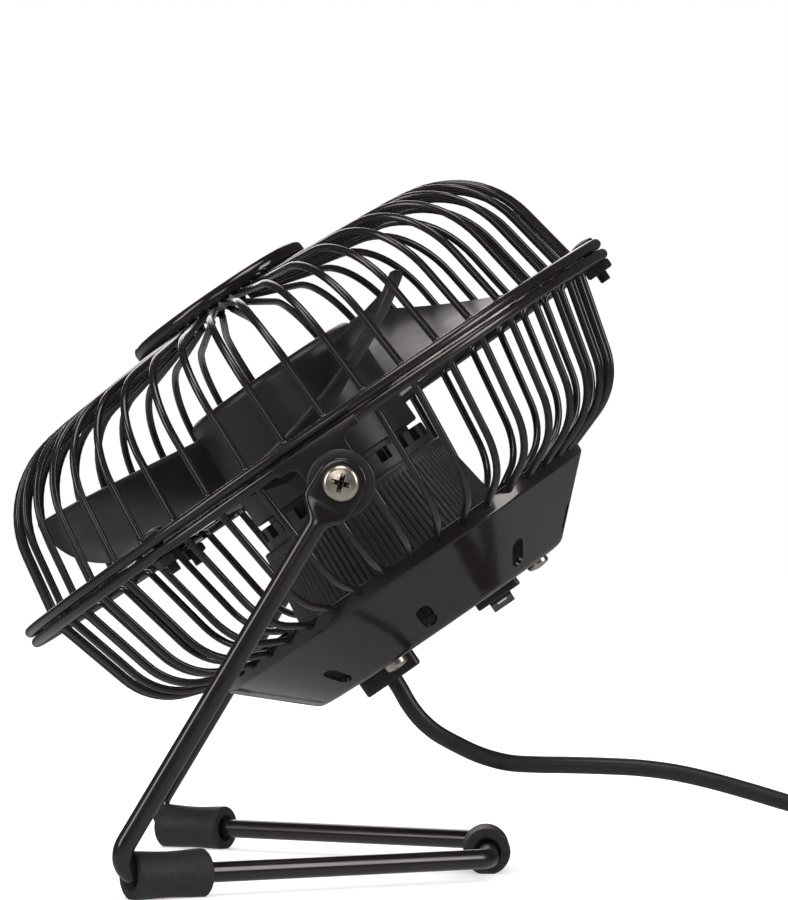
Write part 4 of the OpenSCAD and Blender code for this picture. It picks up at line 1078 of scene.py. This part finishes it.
def make_motor_cover():
    """The ribbed body, and the collar with its windows that reaches into the hub."""
    ribs = 108
    per_rib = 8
    depth = 0.32
    end_r = COVER_R + COVER_FLARE * (COVER_END - COVER_FRONT)
    body = [(COLLAR_R - 0.1, -COVER_FRONT + 0.4, 0), (COVER_R - 0.5, -COVER_FRONT + 0.35, 0),
            (COVER_R - 0.1, -COVER_FRONT + 0.1, 0), (COVER_R, -COVER_FRONT - 0.3, 0),
            (COVER_R + 0.1, -COVER_FRONT - 1.4, 0), (COVER_R + 0.15, -COVER_FRONT - 1.75, 1)]
    for k in range(1, 10):
        s = k / 9
        z = -COVER_FRONT - 1.8 - (COVER_END - COVER_FRONT - 1.8) * s
        body.append((COVER_R + (end_r - COVER_R) * s, z, 1))
    inner = [(end_r - COVER_WALL, -COVER_END, 0), (COVER_R - COVER_WALL, -COVER_FRONT - 1.5, 0),
             (3.6, -COVER_FRONT - 1.5, 0), (3.6, -COVER_FRONT, 0), (COLLAR_R - 1.6, -COVER_FRONT, 0)]
    shape = Shape()
    rows = []
    for i, a in enumerate(angles(ribs * per_rib)):
        phase = i % per_rib / per_rib
        groove = depth * (1 - min(1, 2.6 * abs(math.sin(math.pi * phase)) ** 1.3))
        rows.append([polar(r - groove * on, a, z) for r, z, on in body + inner])
    shape.grid(rows, close=True, caps=False)
    low, flange_in, flange_out = -COVER_END, end_r - COVER_WALL - 0.2, 27.2
    lathe(shape, [(flange_in, low), (flange_out - 0.1, low), (flange_out, low + 0.3),
                  (flange_out, low + 2.2), (flange_out - 0.3, low + 2.6), (flange_in, low + 2.6)], 120)
    ribbed = make_object("ribbed_cover", shape, HEAD)
    settle(ribbed, "head", COVER_PLASTIC, ["motor_cover"], 50)

    ring = Shape()
    lathe(ring, [(COLLAR_R - 1.6, -COVER_FRONT - 0.2), (COLLAR_R, -COVER_FRONT - 0.2),
                 (COLLAR_R, -COLLAR_FRONT - 0.25), (COLLAR_R - 0.25, -COLLAR_FRONT),
                 (COLLAR_R - 1.35, -COLLAR_FRONT), (COLLAR_R - 1.6, -COLLAR_FRONT - 0.25)], 144)
    collar = make_object("cover_collar", ring, HEAD)
    drum = Shape()
    lathe(drum, [(16.2, -COVER_FRONT - 0.3), (17.2, -COVER_FRONT - 0.3), (17.2, -6.8), (16.9, -6.5),
                 (16.2, -6.5)], 96)
    settle(make_object("cover_drum", drum, HEAD), "head", COVER_PLASTIC)
    windows = Shape()
    for i in range(WINDOW_COUNT):
        slab(windows, rectangle(5, 3, 0), -COVER_FRONT + 2.2, -COVER_FRONT + 6.2,
             place=spin(i * 360 / WINDOW_COUNT) @ at(COLLAR_R - 0.5, 0, 0))
    cut(collar, windows, HEAD)
    settle(collar, "head", COVER_PLASTIC)
    lathe_normals(collar, HEAD)

    screws = Shape()
    recess = Shape()
    for angle in SCREW_ANGLES:
        place = spin(angle) @ at(SCREW_R, 0, -CUP_DEPTH) @ Matrix.Rotation(math.pi, 4, "X")
        pan_head(screws, 2.4, 1.8, 6, 0.7, place)
        threaded(screws, 1.28, -5.3, 0.05, 0.8, 0.25, place)
        cross_recess(recess, 1.35, 0.55, 0.9, place @ at(0, 0, 1.75) @ spin(30))
    heads = make_object("cover_cross_screws", screws, HEAD)
    cut(heads, recess, HEAD)
    settle(heads, "head", NICKEL, ["cover_screws"])


# ---- switch and cable block

def make_switch():
    place = at(0, SWITCH_Y, -CUP_DEPTH)
    shape = Shape()
    slab(shape, rectangle(15, 10.2, 1.1), -2, 0, 0.35, 4, place=place)
    slab(shape, rectangle(12.8, 8.6, 0.4), -0.1, 8.6, 0.1, place=place)
    bezel = make_object("switch_frame", shape, HEAD)
    well = Shape()
    slab(well, rectangle(11.2, 5.3, 0.35), -4, 4, place=place)
    cut(bezel, well, HEAD)
    settle(bezel, "head", SWITCH_PLASTIC, ["switch_body"])

    tilt = at(0, SWITCH_Y, -CUP_DEPTH - 0.3) @ Matrix.Rotation(math.radians(-10), 4, "Y")
    key = Shape()
    half, wide = 5.2, 2.5
    dish = [(1, -3.35), (0.75, -3.15), (0.5, -2.92), (0.25, -2.72)]
    face = [(-half * x, y) for x, y in dish] + [(0, -2.62)] + [(half * x, y) for x, y in dish[::-1]]
    outline = closed_rounded(face + [(half - 0.3, 0), (1.6, 3.1), (-1.6, 3.1), (-half + 0.3, 0)],
                             [0.35] + [0.01] * 7 + [0.35, 0.3, 0.3, 0.3, 0.3])
    upright = Matrix(((1, 0, 0, 0), (0, 0, 1, 0), (0, 1, 0, 0), (0, 0, 0, 1)))
    slab(key, outline, -wide, wide, 0.25, 4, place=tilt @ upright)
    for side in (-1, 1):
        low, high = sorted((side * 2.3, side * 3.4))
        slab(key, circle(0.78, 24), low, high, place=tilt @ upright)
    rocker = make_object("rocker_key", key, HEAD)
    settle(rocker, "rocker", SWITCH_PLASTIC, ["switch_rocker"])
    mark = Shape()
    slab(mark, rectangle(0.45, 2.2, 0.2), -3.3, -2.9, 0.05,
         place=tilt @ at(3.3, 0, 0) @ Matrix.Rotation(math.radians(8.0), 4, "Y"))
    line = make_object("rocker_mark", mark, HEAD)
    settle(line, "rocker", MARK)


def make_cable_block():
    place = at(0, -CORD_Y, -CORD_EXIT)
    shape = Shape()
    high = CORD_EXIT - CUP_DEPTH
    slab(shape, rectangle(9, 12.9, 1.3), 0, high, 0.5, 5, place=place)
    for side in (-1, 1):
        slab(shape, circle(1.1, 24), high - 0.1, high + 1.7, 0.25, place=place @ at(0, side * 4.9, 0))
    block = make_object("cord_block", shape, HEAD)
    hole = Shape()
    slab(hole, circle(CORD_D / 2 + 0.05, 40), -2, high + 2, place=place)
    cut(block, hole, HEAD)
    settle(block, "head", SWITCH_PLASTIC, ["cable_block"])


make_rings()
make_wires("front_cage", 1, 10.0, (DISC_R - 2, 33.545), 5.5, 20.0, "front_wires")
make_wires("rear_cage", -1, 15.5, (CUP_RIM - 0.3, 29.72), 19.0, 14.0, "rear_wires")
make_badge()
make_cup()
make_clamps()
make_pivots()
make_stand()
make_feet()
make_impeller()
make_motor_cover()
make_switch()
make_cable_block()


# ---- studio

def make_studio():
    plane = Shape()
    slab(plane, rectangle(8000, 8000, 0), -2, 0)
    floor = make_object("studio_floor", plane)
    floor.data.materials.append(FLOOR)
    floor.visible_glossy = False

    aim = Vector((0, 0, 0.075))
    for name, where, wide, high, power in (
            ("softbox_front", (0.45, -0.85, 0.42), 0.30, 0.7, 3.6),
            ("softbox_back", (0.40, 0.90, 0.50), 0.30, 0.7, 4.4),
            ("softbox_top", (0.25, 0.00, 1.00), 0.5, 0.5, 3.8),
            ("softbox_camera", (1.25, -0.15, 0.48), 0.5, 0.3, 1.5),
            ("softbox_far", (-0.80, -0.15, 0.45), 0.5, 0.6, 2.0)):
        data = bpy.data.lights.new(name, "AREA")
        data.shape = "RECTANGLE"
        data.size = wide
        data.size_y = high
        data.energy = power
        data.color = (1.0, 0.94, 0.92)
        light = bpy.data.objects.new(name, data)
        light.location = where
        light.rotation_euler = (aim - Vector(where)).to_track_quat("-Z", "Y").to_euler()
        bpy.context.scene.collection.objects.link(light)

    world = bpy.data.worlds.new("studio")
    world.use_nodes = True
    tree = world.node_tree
    tree.nodes.clear()
    rays = tree.nodes.new("ShaderNodeLightPath")
    backgrounds = []
    for strength in (0.85, None, 1.0):
        background = tree.nodes.new("ShaderNodeBackground")
        background.inputs["Color"].default_value = (1, 1, 1, 1)
        backgrounds.append(background.outputs["Background"])
        if strength is not None:
            background.inputs["Strength"].default_value = strength
            continue
        # What the gloss sees: a pale table below and a dark studio above
        height = tree.nodes.new("ShaderNodeSeparateXYZ")
        where = tree.nodes.new("ShaderNodeTexCoord").outputs["Generated"]
        tree.links.new(where, height.inputs["Vector"])
        fade = map_range(tree, height.outputs["Z"], (-0.45, 0.05), (0.42, 0.05))
        fade.interpolation_type = "SMOOTHSTEP"
        tree.links.new(fade.outputs["Result"], background.inputs["Strength"])
    for mask, shader in ((rays.outputs["Is Glossy Ray"], backgrounds[1]),
                         (rays.outputs["Is Camera Ray"], backgrounds[2])):
        mix = tree.nodes.new("ShaderNodeMixShader")
        tree.links.new(mask, mix.inputs["Fac"])
        tree.links.new(backgrounds[0], mix.inputs[1])
        tree.links.new(shader, mix.inputs[2])
        backgrounds[0] = mix.outputs["Shader"]
    out = tree.nodes.new("ShaderNodeOutputWorld")
    tree.links.new(backgrounds[0], out.inputs["Surface"])
    bpy.context.scene.world = world
    bpy.context.scene.view_settings.view_transform = "Standard"


make_studio()
